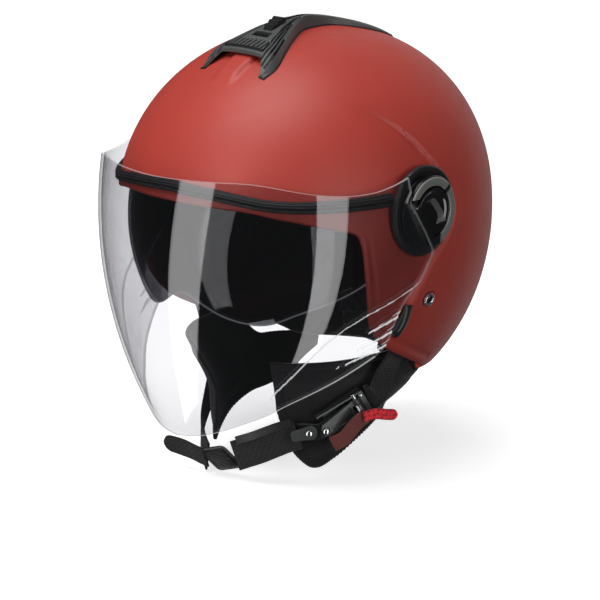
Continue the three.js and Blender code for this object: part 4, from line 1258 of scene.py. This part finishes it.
def shutter():
    """The vent shutter's sliding plate with its finger rib."""
    plate_outline = over_crown((-36, 3.4), (-27, 3.4), (-27, 4.6), (-36, 4.6))
    rib_outline = over_crown((-30.4, 4), (-28.2, 4), (-28.4, 8.6), (-30, 8.6))
    mesh = merged(prism(plate_outline, -SHUTTER_HALF, SHUTTER_HALF), prism(rib_outline, -RIB_HALF, RIB_HALF))
    piece("shutter_slide", *mesh, "satin_black", "vent_shutter", ["vent_shutter"], bevel=0.35)


slider()
shutter()

# ---- Foam and padded liner ----

EPS_EDGE = [
    (-FAR, 18), (-90, 14), (-62, 4), (-46, -8), (-42, -25), (-38, -50), (-33, -74), (-20, -90),
    (2, -102), (30, -104), (60, -101), (FAR, -101),
]
LINER_GROW = -31.8


def lens_barrel(inset):
    angle = np.linspace(-math.pi / 2, math.pi / 2, 41)
    power = 2 / PLAN_POWER
    radius = (LENS_RADIUS - inset) * np.abs(np.cos(angle)) ** power
    radius[[0, -1]] = 0
    x = np.sign(angle) * np.abs(np.sin(angle)) ** power * (LENS_HALF_WIDTH - inset)
    points, faces = lathe(np.stack([radius, x], -1), 72)
    return to_x((points, faces), z=LENS_Z)


FOAM_OUTSIDE, FOAM_INSIDE = -5.1, -30.0
POCKET_RISE = math.radians(LENS_TOP + 43)


def foam_liner():
    """The foam, less the pocket that the sun visor moves in."""
    columns, rows = 220, 60
    edge = shell_edge_loop(columns, EPS_EDGE)
    shares = np.broadcast_to(np.linspace(1 / rows, 1, rows), (columns, rows))
    directions = shell_columns(edge, shares)
    outer, inner = star_point(directions, FOAM_OUTSIDE), star_point(directions, FOAM_INSIDE)
    grid = np.concatenate([outer, inner[:, ::-1]], 1)
    poles = np.vstack([star_point(POLE[None], FOAM_OUTSIDE), star_point(POLE[None], FOAM_INSIDE)])
    outline = [
        (16, -34), (16, -6), (6, 4), (-FAR * math.cos(POCKET_RISE), LENS_Z + FAR * math.sin(POCKET_RISE)),
        (-FAR, FAR), (-FAR, -150), (-30, -60),
    ]
    pocket = carve(prism(outline, -FAR, FAR), [lens_barrel(LENS_THICKNESS + 1.4)])
    mesh = carve(capped(grid, poles), [pocket])
    piece("foam_liner", *mesh, "foam_black", "helmet", ["eps_liner"], angle=40)


foam_liner()


def border_gap(points, border):
    """Each point's distance to the nearest point of a border line."""
    flat = points.reshape(-1, 3)
    gap = np.full(len(flat), 1e9)
    for p in border:
        gap = np.minimum(gap, np.linalg.norm(flat - p, axis=1))
    return gap.reshape(points.shape[:-1])


def grid_border(grid):
    return np.concatenate([grid[0], grid[-1], grid[:, 0], grid[:, -1]])


CLOTH_FRAMES = 20


def swell(obj, pressure, cap):
    """Swells a pad under cloth simulation, moving each point by at most cap."""
    start = coordinates(obj.data)
    cloth = obj.modifiers.new("cloth", "CLOTH")
    cloth.settings.quality = 5
    cloth.settings.mass = 0.3
    cloth.settings.use_pressure = True
    cloth.settings.uniform_pressure_force = pressure
    cloth.settings.effector_weights.gravity = 0
    cloth.point_cache.frame_start = 1
    cloth.point_cache.frame_end = CLOTH_FRAMES
    for number in range(1, CLOTH_FRAMES + 1):
        bpy.context.scene.frame_set(number)
    swollen = obj.evaluated_get(bpy.context.evaluated_depsgraph_get())
    move = coordinates(swollen.data) - start
    reach = np.linalg.norm(move, axis=1, keepdims=True)
    move *= np.minimum(1, cap * MM / np.maximum(reach, 1e-9))
    obj.modifiers.clear()
    obj.data.vertices.foreach_set("co", (start + move).ravel())
    bpy.context.scene.frame_set(1)


def inflate(name, mesh, voxel, pressure, cap):
    """A pad's cover: remeshed evenly, swollen as cloth and smoothed."""
    points, faces = mesh
    obj = new_object(name, new_mesh(name, points * MM, faces))
    even = obj.modifiers.new("even", "REMESH")
    even.mode = "VOXEL"
    even.voxel_size = voxel * MM
    settle(obj)
    swell(obj, pressure, cap)
    smooth = obj.modifiers.new("smooth", "SUBSURF")
    smooth.levels = smooth.render_levels = 1
    settle(obj)
    points, faces = taken_back(obj)
    return points / MM, faces


def cheek_place(u, v, grow):
    z = mix(-24, -99, v)
    y = mix(mix(-40, -14, v**1.4), mix(44, 34, v), u)
    return shell_side(y, z, grow)


CHEEK_SEAM = 15  # from the pad's border to the channel round its mesh panel


def cheek_pads():
    """Padded cushions with a mesh panel inside a sewn channel."""
    u, v = grids(44, 40)
    outer = cheek_place(u, v, np.full_like(u, LINER_GROW - 1.0))
    dome_share = np.clip(np.sin(np.pi * u) * np.sin(np.pi * v), 0, 1)
    fullness = mix(-43.0, -52 + 26 * v * v + 4.0, np.minimum(1, 2.2 * np.sqrt(dome_share)))
    inner = cheek_place(u, v, np.minimum(fullness, LINER_GROW - 6))
    points, faces = inflate("cheek_work", panel_mesh(outer, inner), voxel=4.0, pressure=4.0, cap=6.0)
    border = grid_border(inner)[::3]
    seam = border_gap(points, border)
    half = np.full_like(seam, 0.5)
    facing_in = points[:, 0] < cheek_place(half, half, np.full_like(seam, LINER_GROW - 9.0))[:, 0]
    channel = 1.5 * bell(seam, CHEEK_SEAM, 1.6) * facing_in
    mesh = points + unit(points - CENTRE) * channel[:, None], faces
    mesh_panel = border_gap(face_middles(*mesh), border) > CHEEK_SEAM + 0.5
    for pad in both_sides("cheek_cushion", mesh, "liner_black", "helmet", "cheek_pad", angle=80):
        second_finish(pad, "mesh_fabric", np.where(mesh_panel)[0])


cheek_pads()


CROWN_REACH = 95  # roughly from the crown's top to the pad's rim, along the pad


def crown_sheet(turn, share, grow):
    """The pad's surface at a depth inside the shell, from the crown down to the rim."""
    rim = mix(30, -52, ((1 + np.sin(turn)) / 2) ** 1.6)
    swing = np.sin(share * math.pi / 2) ** 2
    z = mix(CENTRE[2] + UP + LINER_GROW, rim[:, None], swing[None, :])
    z = np.minimum(z, CENTRE[2] + UP + grow - 0.02)
    return shell_point(turn[:, None], z, grow)


def crown_pad():
    """A pad under the crown, puffed between its seams."""
    around, rows = 192, 70
    turn = np.linspace(0, 2 * np.pi, around, endpoint=False)
    share = np.linspace(1 / rows, 1, rows)
    outer = crown_sheet(turn, share, np.full((around, rows), LINER_GROW))
    base = crown_sheet(turn, share, np.full((around, rows), -38.0))
    x, y = np.abs(base[..., 0]), base[..., 1]
    cross_seams = np.where(x < 30, np.minimum(np.abs(y + 20), np.abs(y - 52)), 99)
    seams = np.minimum(np.abs(x - 30), cross_seams)
    near_rim = (1 - share)[None, :] * CROWN_REACH
    puff = ease(np.minimum(seams, np.abs(near_rim - 14)), 0, 9) * ease(near_rim, 0, 5)
    inner = crown_sheet(turn, share, -36.4 - 2.6 * puff)[:, ::-1]
    top = CENTRE[2] + UP
    poles = [(0, CENTRE[1], top + LINER_GROW), (0, CENTRE[1], top - 39.0)]
    mesh = capped(np.concatenate([outer, inner], 1), poles)
    pad = piece("crown_cushion", *mesh, "liner_black", "helmet", ["crown_liner"], angle=80)
    middles = face_middles(*mesh)
    centre_panels = (np.abs(middles[:, 0]) < 29) & (middles[:, 2] > 10)
    second_finish(pad, "mesh_fabric", np.where(centre_panels)[0])


crown_pad()

ROLL_SECTION = [(-5.6, -103.6), (-5.6, -126), (-13, -130.6), (-27, -130.6), (-32.6, -121.5), (-30, -105)]


def nape_roll():
    """A roll round the back of the neck, with a shallow seam down its middle."""
    section = curve(ROLL_SECTION + ROLL_SECTION[:1], 5)[:-1]
    middle = section.mean(0)
    rings = []
    for share in np.linspace(0, 1, 90):
        taper = mix(0.72, 1, ease(min(share, 1 - share), 0, 0.08))
        ring = middle + (section - middle) * taper
        rings.append(shell_point(math.radians(mix(21, 159, share)), ring[:, 1], ring[:, 0]))
    points, faces = inflate("roll_work", ring_mesh(np.array(rings)), voxel=4.5, pressure=4.0, cap=4.0)
    seam = 1.2 * bell(points[:, 0], 0, 1.4)
    points = points + unit(CENTRE + np.array([0, 0, -95]) - points) * -seam[:, None] * 0.6
    roll = piece("nape_cushion", points, faces, "liner_black", "helmet", ["neck_roll"], angle=80)


nape_roll()

# ---- Strap pads ----

# Distance from the neck's axis at each height, at the pad's front and rear, and its lower edge as
# (degrees, z).
PAD_FRONT = [(-195, 60.6), (-172, 60.6), (-158, 61.2), (-147, 62.4), (-135, 67), (-122, 74), (-108, 81)]
PAD_REAR = [(-195, 61), (-172, 62.6), (-160, 66), (-149, 77), (-140, 86), (-130, 92), (-108, 94)]
PAD_LOWER = [
    (28, -150), (36, -176), (48, -191), (57, -193.5), (68, -188),
    (86, -178), (104, -171), (118, -168), (132, -162), (150, -144),
]
PAD_HEM = 7.0


def round_neck(degrees, z, radius):
    """A point at an angle round the neck, from the front towards the wearer's left."""
    angle = np.radians(degrees)
    x, y = radius * np.sin(angle), NECK_Y - radius * np.cos(angle)
    return np.stack(np.broadcast_arrays(x, y, np.asarray(z, float)), -1)


def strap_pads():
    """Cut cloth round each side strap, with a stitched hem."""
    u, v = grids(121, 73)
    spot = by_index(PAD_LOWER, u)
    degrees = spot[..., 0]
    top = mix(-110, -135.5, ease(degrees, 100, 122))
    z = mix(top, spot[..., 1], v)
    radius = mix(value_at(PAD_FRONT, z), value_at(PAD_REAR, z), ease(degrees, 84, 132))
    base = round_neck(degrees, z, radius)
    border = grid_border(base)[::2]
    gap = border_gap(base, border)
    middle = ease(gap, PAD_HEM, PAD_HEM + 9)
    channel = 0.7 * bell(gap, PAD_HEM, 0.8)
    stitch = 0.25 * np.sin(degrees * 2.4) * bell(gap, PAD_HEM - 1.6, 0.5)
    edge = 1.0 * (1 - ease(gap, 0, 1.6))
    outer = round_neck(degrees, z, radius + 1.5 * middle - channel - edge + stitch)
    inner = round_neck(degrees, z, radius - 3 - 0.9 * middle + edge)
    mesh = panel_mesh(outer, inner)
    hem = np.where(border_gap(face_middles(*mesh), border) < PAD_HEM)[0]
    for pad in both_sides("strap_cushion", mesh, "liner_black", "helmet", "strap_pad", angle=80):
        second_finish(pad, "hem_fabric", hem)


strap_pads()

# ---- Straps ----

BUCKLE = frame_at((57.6, -32.9, -160.6), (15, 27, 18.6), (64.2, -19.1, -151.6))


def in_buckle(u, v, w):
    return within(BUCKLE, u, v, w)


# The strap slider's frame: along the strap, across it, and away from the neck and down.
RING = as_matrix((0.9468, 0.1166, 0.3), (-0.1487, -0.6713, 0.7261), (0.2861, -0.7321, -0.6183),
                 (-10.3, -64.7, -190.8))


def in_ring(u, v, w):
    return within(RING, u, v, w)


def strap_section(width, thickness, hem):
    """A flat section with round edges, and a shallow groove a stitch's width inside each edge."""
    half, t = width / 2, thickness / 2
    x = np.linspace(-1, 1, 31) * (half - t)
    dip = hem * bell(np.abs(x), half - 2.2, 0.35)
    upper = np.stack([x, t - dip], -1)
    cap = np.radians(np.linspace(90, -90, 9))[1:-1]
    right = np.stack([half - t + t * np.cos(cap), t * np.sin(cap)], -1)
    lower = np.stack([x[::-1], -t + dip[::-1]], -1)
    return np.vstack([upper, right, lower, -right])


def turned_from(away, share, facing):
    """Faces a direction up to a first share of the length, and away from the neck after a second."""
    direction, first, second = facing
    return unit(mix(direction, away, ease(share, first, second)[..., None]))


def ribbon(route, width, thickness, steps=160, facing=None, round_end=0.0, hem=0.16):
    """(points, faces, uv) of a flat strap along a route, facing away from the neck."""
    shares = np.linspace(0, 1, steps)
    line = along(curve(route, 40), shares)
    tangent = unit(np.gradient(line, axis=0))
    face = unit(np.stack([line[:, 0], line[:, 1] - NECK_Y, 0 * line[:, 0]], -1))
    if facing:
        face = turned_from(face, shares, facing)
    across = unit(np.cross(tangent, face))
    normal = np.cross(across, tangent)
    length = np.concatenate([[0], np.cumsum(np.linalg.norm(np.diff(line, axis=0), axis=1))])
    section = strap_section(width, thickness, hem)
    narrow = np.ones(steps)
    if round_end:
        left = np.clip((length[-1] - length) / round_end, 0.02, 1)
        narrow = np.sqrt(1 - (1 - left) ** 2)
    sideways_by = section[None, :, 0] * narrow[:, None]
    rings = (line[:, None] + across[:, None] * sideways_by[..., None]
             + normal[:, None] * section[None, :, 1][..., None])
    uv = np.stack(np.broadcast_arrays(length[:, None], section[None, :, 0]), -1).reshape(-1, 2) * MM
    return *ring_mesh(rings), uv


def strap(name, route, width, thickness, finish, body, nodes, **more):
    points, faces, uv = ribbon(route, width, thickness, **more)
    return piece(name, points, faces, finish, body, nodes, uv=uv, angle=60)


SIDE_ROUTE = [(109.6, 9, -58), (104, 9, -79), (95, 8.5, -100), (84.5, 6, -121), (76, 3, -136)]
FLIPPED_ROUTE = [(-x, y, z) for x, y, z in SIDE_ROUTE]
CHIN_ROUTE = [
    round_neck(42.4, -164.8, 70), round_neck(35, -168, 69.2), round_neck(27, -172.6, 68.2),
    round_neck(18, -178, 67.6), round_neck(10, -182.2, 67.6), round_neck(1.9, -186.7, 67.8),
]


# The right strap's loop runs between these two places: one on the helmet and one in the strap slider's frame.
LOOP_START, LOOP_END = round_neck(-76, -154, 68), in_ring(-13.6, 0, -3)
TAIL_ROUTE = [
    in_ring(-9, 6, 2.4), (-27.5, -71.6, -189.6), (-36, -71, -188.6), (-46, -72, -187.6), (-56, -75.5, -186),
]
# The tail faces down and forward all along.
TAIL_FACING = (np.array([-0.1, -0.88, -0.45]), 1, 2)
# The toothed strip leaves the buckle level with it.
STRIP_FACING = (BUCKLE[:3, 2], 0.34, 0.6)
STRIP_ROUTE = [
    in_buckle(25, 0, 3.2), in_buckle(11, 0, 3.2), in_buckle(-3, 0, 3.2), round_neck(45, -163.6, 67.2),
    round_neck(36, -166, 66.2), round_neck(20, -173, 65), round_neck(6, -180, 64.8),
]
TOOTH_SECTION = [(-5.2, 0.6), (5.2, 0.6), (5.2, 1.15), (-5.2, 1.15)]
TOOTH_COUNT, TOOTH_PITCH, TOOTH_START, STRIP_SAMPLES = 57, 0.0175, 0.01, 800
RAIL_TOOTH = ((-0.42, 7.2, 0.8), (0.42, 13.2, 2.0))


def straps():
    webbing = STRAP_WIDTH, STRAP_THICKNESS, "webbing"
    left = SIDE_ROUTE[:4] + [in_buckle(46, 0, 5), in_buckle(37.4, 0, 4)]
    strap("side_strap_left", left, *webbing, "helmet", ["strap_left"])
    loop = [LOOP_START, round_neck(-52, -178, 68), round_neck(-36, -188.5, 69), LOOP_END]
    right = strap("side_strap_right", FLIPPED_ROUTE + loop, *webbing, None, ["strap_right"], steps=200)
    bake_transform(right)
    strap("chin_strap", CHIN_ROUTE, *webbing, "strap_end", ["chin_webbing"])
    strap("loose_tail", TAIL_ROUTE, TAIL_WIDTH, STRAP_THICKNESS, "webbing", "strap_end", ["strap_tail"],
          round_end=6.0, steps=90, facing=TAIL_FACING)


def fold_through_ring():
    """The webbing's fold round the slider's middle bar, fuller in its middle."""
    half_length, half_width = 8.6, 10.4
    turn = np.radians(np.linspace(0, 360, 48, endpoint=False))
    across = np.linspace(-1, 1, 41)
    rings = []
    for place, full in zip(across, (1 - across**4) ** 0.5):
        depth = 0.7 + 2.2 * full
        v = half_width * place
        rings.append([in_ring(half_length * math.cos(t), v, depth * math.sin(t)) for t in turn])
    round_bar = np.tile(half_length * np.cos(turn), len(across))
    uv = np.stack([round_bar, half_width * np.repeat(across, len(turn))], -1) * MM
    piece("ring_fold", *ring_mesh(np.array(rings)), "webbing", "strap_end", uv=uv, angle=70)


def toothed_strip():
    """The moulded strip with its cross teeth."""
    base = ribbon(STRIP_ROUTE, 13, 1.5, steps=200, facing=STRIP_FACING, hem=0.0)
    line = along(curve(STRIP_ROUTE, 40), np.linspace(0, 1, STRIP_SAMPLES + 1))
    tangent = unit(np.gradient(line, axis=0))
    teeth = []
    for k in range(TOOTH_COUNT):
        at = int(round((TOOTH_START + TOOTH_PITCH * k) * STRIP_SAMPLES))
        forward = tangent[at]
        away = turned_from(away_from_neck(line[at]), at / STRIP_SAMPLES, STRIP_FACING)
        side = unit(np.cross(forward, away))
        matrix = as_matrix(forward, side, np.cross(side, forward), line[at])
        teeth.append(moved(prism(TOOTH_SECTION, -0.45, 0.55), matrix))
    piece("toothed_strip", *merged(base[:2], *teeth), "strip_black", "strap_end", ["ratchet_strip"], angle=50)


def toothed_rail():
    """The same moulding's upper rail, which stands out along the top of the webbing."""
    line = curve(CHIN_ROUTE, 40)
    rail = []
    for share in np.linspace(0.04, 0.86, 52):
        place = along(line, share)
        forward = unit(along(line, share + 0.01) - place)
        away = away_from_neck(place)
        side = unit(np.cross(forward, away))
        side = side if side[2] > 0 else -side
        normal = unit(np.cross(forward, side))
        normal = normal if normal @ away > 0 else -normal
        rail.append(moved(block(*RAIL_TOOTH), as_matrix(np.cross(side, normal), side, normal, place)))
    piece("toothed_rail", *merged(*rail), "strip_black", "strap_end", bevel=0.2, angle=40)


straps()
fold_through_ring()
toothed_strip()
toothed_rail()

# ---- Buckle and its fittings ----


def arc_outline(centre, radius, start, end, count):
    turn = np.radians(np.linspace(start, end, count))
    return [(centre[0] + radius * math.cos(t), centre[1] + radius * math.sin(t)) for t in turn]


def dome(radius, low, top):
    """A domed rivet head on a short straight side."""
    side, crown = 0.35, 0.65
    rise = top - low
    profile = [(0, low), (radius, low), (radius, low + side * rise)]
    for t in np.radians([25, 45, 65, 80]):
        profile.append((radius * math.cos(t), low + (side + crown * math.sin(t)) * rise))
    return lathe(profile + [(0, top)], 40)


def sideways(mesh):
    """A (points, faces) pair turned so that its +Z lies along +Y."""
    points, faces = mesh
    return np.stack([points[:, 0], points[:, 2], -points[:, 1]], -1), faces


def shifted(mesh, *by):
    points, faces = mesh
    return points + np.array(by), faces


BUCKLE_LENGTH, BUCKLE_HALF, BUCKLE_WALL, BUCKLE_TOP = 36, 11.5, 1.5, 8.4
PIN_U, PIN_W, PIN_RADIUS, SLOT_HALF = 29, 7.2, 1.6, 3.2
SPRING_TURNS, SPRING_STEPS, SPRING_RADIUS, WIRE_RADIUS = 4.5, 220, 2.5, 0.42
LEVER_PLAN = [
    (-2.6, -3), (-0.6, -5.4), (26, -7.6), (30.6, -7.6), (30.6, 7.6), (26, 7.6), (-0.6, 5.4), (-2.6, 3),
]
LEVER_WELL = [(4.6, -3.0), (22.6, -4.6), (22.6, 4.6), (4.6, 3.0)]


def buckle_frame():
    """A floor between two cheeks, a bridge over its rear end and two screw heads."""
    length, half, wall, top = BUCKLE_LENGTH, BUCKLE_HALF, BUCKLE_WALL, BUCKLE_TOP
    cheek = [(-1, 0), (length, 0), (length, top), (length - 10, top), (2, 4.4), (-1, 4.4)]
    cheeks = []
    for start in (-half, half - wall):
        points, faces = prism(cheek, start, start + wall, "Z")
        cheeks.append((points[:, [0, 2, 1]], faces))
    floor = block((4, -half, 0), (length, half, wall))
    bridge = block((length - 4, -half, top - wall), (length, half, top))
    mesh = moved(merged(floor, *cheeks, bridge), BUCKLE)
    piece("buckle_frame", *mesh, "buckle_metal", "helmet", ["buckle_body"], bevel=0.3, angle=40)
    screws = [shifted(dome(1.3, top - 0.2, top + 0.7), length - 2, v, 0) for v in (-7.4, 7.4)]
    piece("buckle_screws", *moved(merged(*screws), BUCKLE), "chrome", "helmet")


def hinge():
    """The lever's pin and the spring wound round it."""
    pin = shifted(sideways(disc(PIN_RADIUS, -12, 12, 0.4, 40)), PIN_U, 0, PIN_W)
    piece("hinge_pin", *moved(pin, BUCKLE), "chrome", "helmet", ["lever_pin"])
    t = np.linspace(0, SPRING_TURNS * 2 * math.pi, SPRING_STEPS)
    lie = np.linspace(-2.6, 2.6, SPRING_STEPS)
    centre = np.stack([PIN_U + SPRING_RADIUS * np.cos(t), lie, PIN_W + SPRING_RADIUS * np.sin(t)], -1)
    out = np.stack([np.cos(t), 0 * t, np.sin(t)], -1)
    wire = tube(centre, out, np.array([0, 1.0, 0]), WIRE_RADIUS, 10)
    piece("hinge_spring", *moved(ring_mesh(wire), BUCKLE), "chrome", "helmet", ["lever_spring"])


def tube(path, side, up, radius, count):
    """Rings of a round bar along a path."""
    turn = np.radians(np.linspace(0, 360, count, endpoint=False))
    around = np.cos(turn)[None, :, None] * side[:, None] + np.sin(turn)[None, :, None] * up
    return path[:, None] + radius * around


def release_lever():
    """The lever with its sunken well, pawl, split hinge barrel and rivet."""
    cuts = [
        prism(LEVER_WELL, 6.6, 12, "Z"), block((24.5, -SLOT_HALF, 0), (40, SLOT_HALF, 20)),
        lathe([(0, 0), (1.6, 0), (1.6, 20), (0, 20)], 32),
    ]
    slab = carve(prism(LEVER_PLAN, 5.4, 7.9, "Z"), cuts)
    pawl = block((6, -4, 4.9), (9.4, 4, 5.6))
    barrel = lathe([(1.75, -7.6), (3, -7.6), (3, 7.6), (1.75, 7.6), (1.75, -7.6)], 40)
    barrel = carve(sideways(barrel), [block((-10, -SLOT_HALF, -10), (10, SLOT_HALF, 10))])
    mesh = moved(merged(slab, pawl, shifted(barrel, PIN_U, 0, PIN_W)), BUCKLE)
    piece("release_lever", *mesh, "buckle_metal", "lever", ["buckle_lever"], bevel=0.3, angle=35)
    piece("lever_rivet_head", *moved(dome(3.0, 7.8, 10.4), BUCKLE), "chrome", "lever", ["lever_rivet"])


def end_plate():
    """The drop-shaped plate that rivets the strap's end."""
    fitting = frame_at(round_neck(48.6, -162.6, 72.4), (0.66, 0.73, 0.2))
    drop = arc_outline((0, 0), 5.6, -70, 70, 24) + [(-11.5, 3.9), (-13, 2.8), (-13, -2.8), (-11.5, -3.9)]
    mesh = moved(prism(drop, 0.4, 2.2, "Z"), fitting)
    piece("end_plate", *mesh, "buckle_metal", "strap_end", ["end_fitting"], bevel=0.35, angle=40)
    piece("end_plate_rivet", *moved(dome(2.8, 2.3, 4.6), fitting), "chrome", "strap_end", ["fitting_rivet"])


buckle_frame()
hinge()
release_lever()
end_plate()


def ring_slider():
    """A round-cornered frame of bar with a middle bar, which the loose end doubles back through."""
    corner, half_u, half_v, bar = 3.0, 10.4, 12.3, 1.2
    path = []
    for k, (u, v) in enumerate(((1, 1), (-1, 1), (-1, -1), (1, -1))):
        centre = u * (half_u - corner), v * (half_v - corner)
        path += arc_outline(centre, corner, 90 * k, 90 * k + 90, 10)
    path = np.array([(u, v, 0.0) for u, v in path])
    forward = unit(np.roll(path, -1, 0) - np.roll(path, 1, 0))
    side = np.cross(forward, [0, 0, 1.0])
    outer = ring_mesh(tube(path, side, np.array([0, 0, 0.95]), bar, 14), closed=True)
    middle = sideways(disc(bar, -half_v, half_v, 0.2, 20))
    mesh = moved(merged(outer, middle), RING)
    piece("strap_slider", *mesh, "buckle_metal", "strap_end", ["strap_ring"], angle=60)


ring_slider()


def pulls():
    """The release ribbon, red webbing painted dark maroon as painted shade, and the red loop that ends it."""
    flat = [in_buckle(-2, -10, 10.4), in_buckle(7, -10.4, 12.2), in_buckle(15.6, -7.6, 13),
            in_buckle(22.5, -5.4, 13.6), in_buckle(28, -5, 13.8)]
    strap("release_ribbon", flat, 12, 1.2, "ribbon_maroon", "lever", ["pull_ribbon"], hem=0.1)
    tab = [in_buckle(26.6, -3, 17), in_buckle(34.6, -6.4, 17), in_buckle(41, -12.6, 16),
           in_buckle(47.4, -18.6, 14.4)]
    strap("release_loop", tab, 8, 3.0, "loop_red", "lever", ["pull_loop"], round_end=3.5, hem=0.25)


pulls()


def strap_rivets():
    """Eyelets on the shell: a rolled rim round a sunken middle painted black as painted shade."""
    place = axis_frame(RIVET_POINT, RIVET_DIRECTION)
    head = round_profile([
        (0, -12.4), (2.1, -12.4), (2.1, -1.2), (4.9, -1.2), (5.1, 0.2), (4.4, 1.1), (3.4, 1.1), (2.7, 0.4),
        (2.5, -2.6), (0, -2.8),
    ], 0.4)
    mesh = moved(lathe(head, 48), place)
    hole = np.linalg.norm((face_middles(*mesh) - RIVET_POINT) @ place[:3, :2], axis=1) < 2.6
    for made in both_sides("rivet", mesh, "chrome", "helmet", "strap_rivet"):
        # The sunken middle is painted black: painted shade in the hole.
        second_finish(made, "rubber_black", np.where(hole)[0])


strap_rivets()


def keep_cad(finish, *nodes):
    """CAD nodes whose shape is already right take a finish and rounded edges."""
    for name in nodes:
        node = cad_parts[name]
        node.data.materials.clear()
        node.data.materials.append(MATERIALS[finish])
        round_edges(node, 0.25, 2, 40)


keep_cad("buckle_metal", "sun_visor_pivot_left", "sun_visor_pivot_right")

# ---- Camera, lights, floor ----


CAMERA_AZIMUTH, CAMERA_ELEVATION, CAMERA_LENS = math.radians(41.3), math.radians(15.9), 168
# From the frame's origin, in metres: back along the view, then across the picture.
CAMERA_BACK, CAMERA_RIGHT, CAMERA_UP = 1.983, 0.0058, -0.0824


def look():
    bpy.context.scene.view_settings.view_transform = "Standard"
    level = math.cos(CAMERA_ELEVATION)
    back = Vector((
        math.sin(CAMERA_AZIMUTH) * level, -math.cos(CAMERA_AZIMUTH) * level, math.sin(CAMERA_ELEVATION)))
    right = Vector((math.cos(CAMERA_AZIMUTH), math.sin(CAMERA_AZIMUTH), 0))
    up = back.cross(right)
    lens = bpy.data.cameras.new("camera")
    lens.sensor_width = 36
    lens.lens = CAMERA_LENS
    lens.clip_start, lens.clip_end = 0.1, 60
    camera = new_object("camera", lens)
    place = back * CAMERA_BACK + right * CAMERA_RIGHT + up * CAMERA_UP
    turn = Matrix((right, up, back)).transposed().to_4x4()
    camera.matrix_world = Matrix.Translation(place) @ turn
    bpy.context.scene.camera = camera


def emissive(name, strength):
    made = bpy.data.materials.new(name)
    made.use_nodes = True
    tree = made.node_tree
    tree.nodes.remove(tree.nodes["Principled BSDF"])
    glow = tree.nodes.new("ShaderNodeEmission")
    glow.inputs["Strength"].default_value = strength
    glow.inputs["Color"].default_value = (1, 1, 1, 1)
    tree.links.new(glow.outputs[0], surface_input(tree))
    return made


def only_seen(obj, camera=False, glossy=False):
    obj.visible_camera = camera
    obj.visible_glossy = glossy
    obj.visible_diffuse = False
    obj.visible_shadow = False
    obj.visible_transmission = False
    obj.visible_volume_scatter = False


def reflector(name, levels, distance, strength):
    """A bright card that only mirror-like surfaces see, through (z, azimuth, width) levels."""
    steps = 7
    points = []
    for z, azimuth, width in levels:
        for k in range(steps):
            angle = math.radians(azimuth + width * (k / (steps - 1) - 0.5))
            points.append((distance * math.sin(angle), -distance * math.cos(angle), z))
    mesh = new_mesh(name, points, grid_faces(len(levels), steps))
    mesh.materials.append(emissive(name, strength))
    card = new_object(name, mesh)
    only_seen(card, glossy=True)


def lamp(name, place, target, size, power, mirrored_in=False):
    data = bpy.data.lights.new(name, "AREA")
    data.shape = "RECTANGLE"
    data.size, data.size_y = size
    data.energy = power
    obj = new_object(name, data)
    obj.location = place
    obj.rotation_euler = (Vector(target) - Vector(place)).to_track_quat("-Z", "Y").to_euler()
    obj.visible_glossy = mirrored_in


def dim_world():
    world = bpy.data.worlds.new("studio")
    bpy.context.scene.world = world
    world.use_nodes = True
    background = world.node_tree.nodes["Background"]
    background.inputs["Color"].default_value = (0.9, 0.95, 1, 1)
    background.inputs["Strength"].default_value = 0.06


def floor():
    """A pale disc just under the object, which glows so that it comes out near white."""
    ground = CAD_LOW.z - 0.0005
    bpy.ops.mesh.primitive_circle_add(vertices=96, radius=9, fill_type="NGON", location=(0, 0, ground))
    disc_object = bpy.context.object
    disc_object.name = "floor"
    pale = plain("floor_pale", (0.9, 0.9, 0.9), 0.7, 30, 0.05, 0.01)
    disc_object.data.materials.append(pale.material)
    pale.shader.inputs["Emission Color"].default_value = (1, 1, 1, 1)
    pale.shader.inputs["Emission Strength"].default_value = 0.7
    disc_object.visible_glossy = False
    disc_object.visible_diffuse = False


def backdrop():
    """A white dome that only the camera sees."""
    bpy.ops.mesh.primitive_uv_sphere_add(segments=48, ring_count=24, radius=10, location=(0, 0, 0))
    sphere = bpy.context.object
    sphere.name = "backdrop"
    sphere.data.materials.append(emissive("backdrop_white", 1.0))
    only_seen(sphere, camera=True)


def lights():
    """Lamps as name, place, target, size and watts, and the cards that give the visor its streaks."""
    lamp("key", (-0.8, -1.3, 2.4), (0, 0, 0), (1.5, 1.5), 46)
    lamp("top", (-0.1, -0.3, 2.2), (0, 0, 0), (1.8, 1.4), 27, True)
    lamp("fill", (2.3, -0.3, 0.2), (0, 0, -0.05), (1.2, 1.6), 22)
    lamp("front", (0.0, -2.3, 0.1), (0, 0, -0.05), (1.2, 1.2), 20)
    reflector("card_left", [(-1.9, -22, 25), (-0.6, -11, 25), (0.4, -1, 24), (1.6, 6, 24)], 1.5, 3.2)
    reflector("card_right", [(-1.9, 82, 14), (-0.6, 79, 16), (0.4, 75, 18)], 1.5, 3.0)
    reflector("card_behind", [(-1.4, 190, 56), (1.6, 190, 56)], 1.8, 0.5)


look()
dim_world()
floor()
backdrop()
lights()
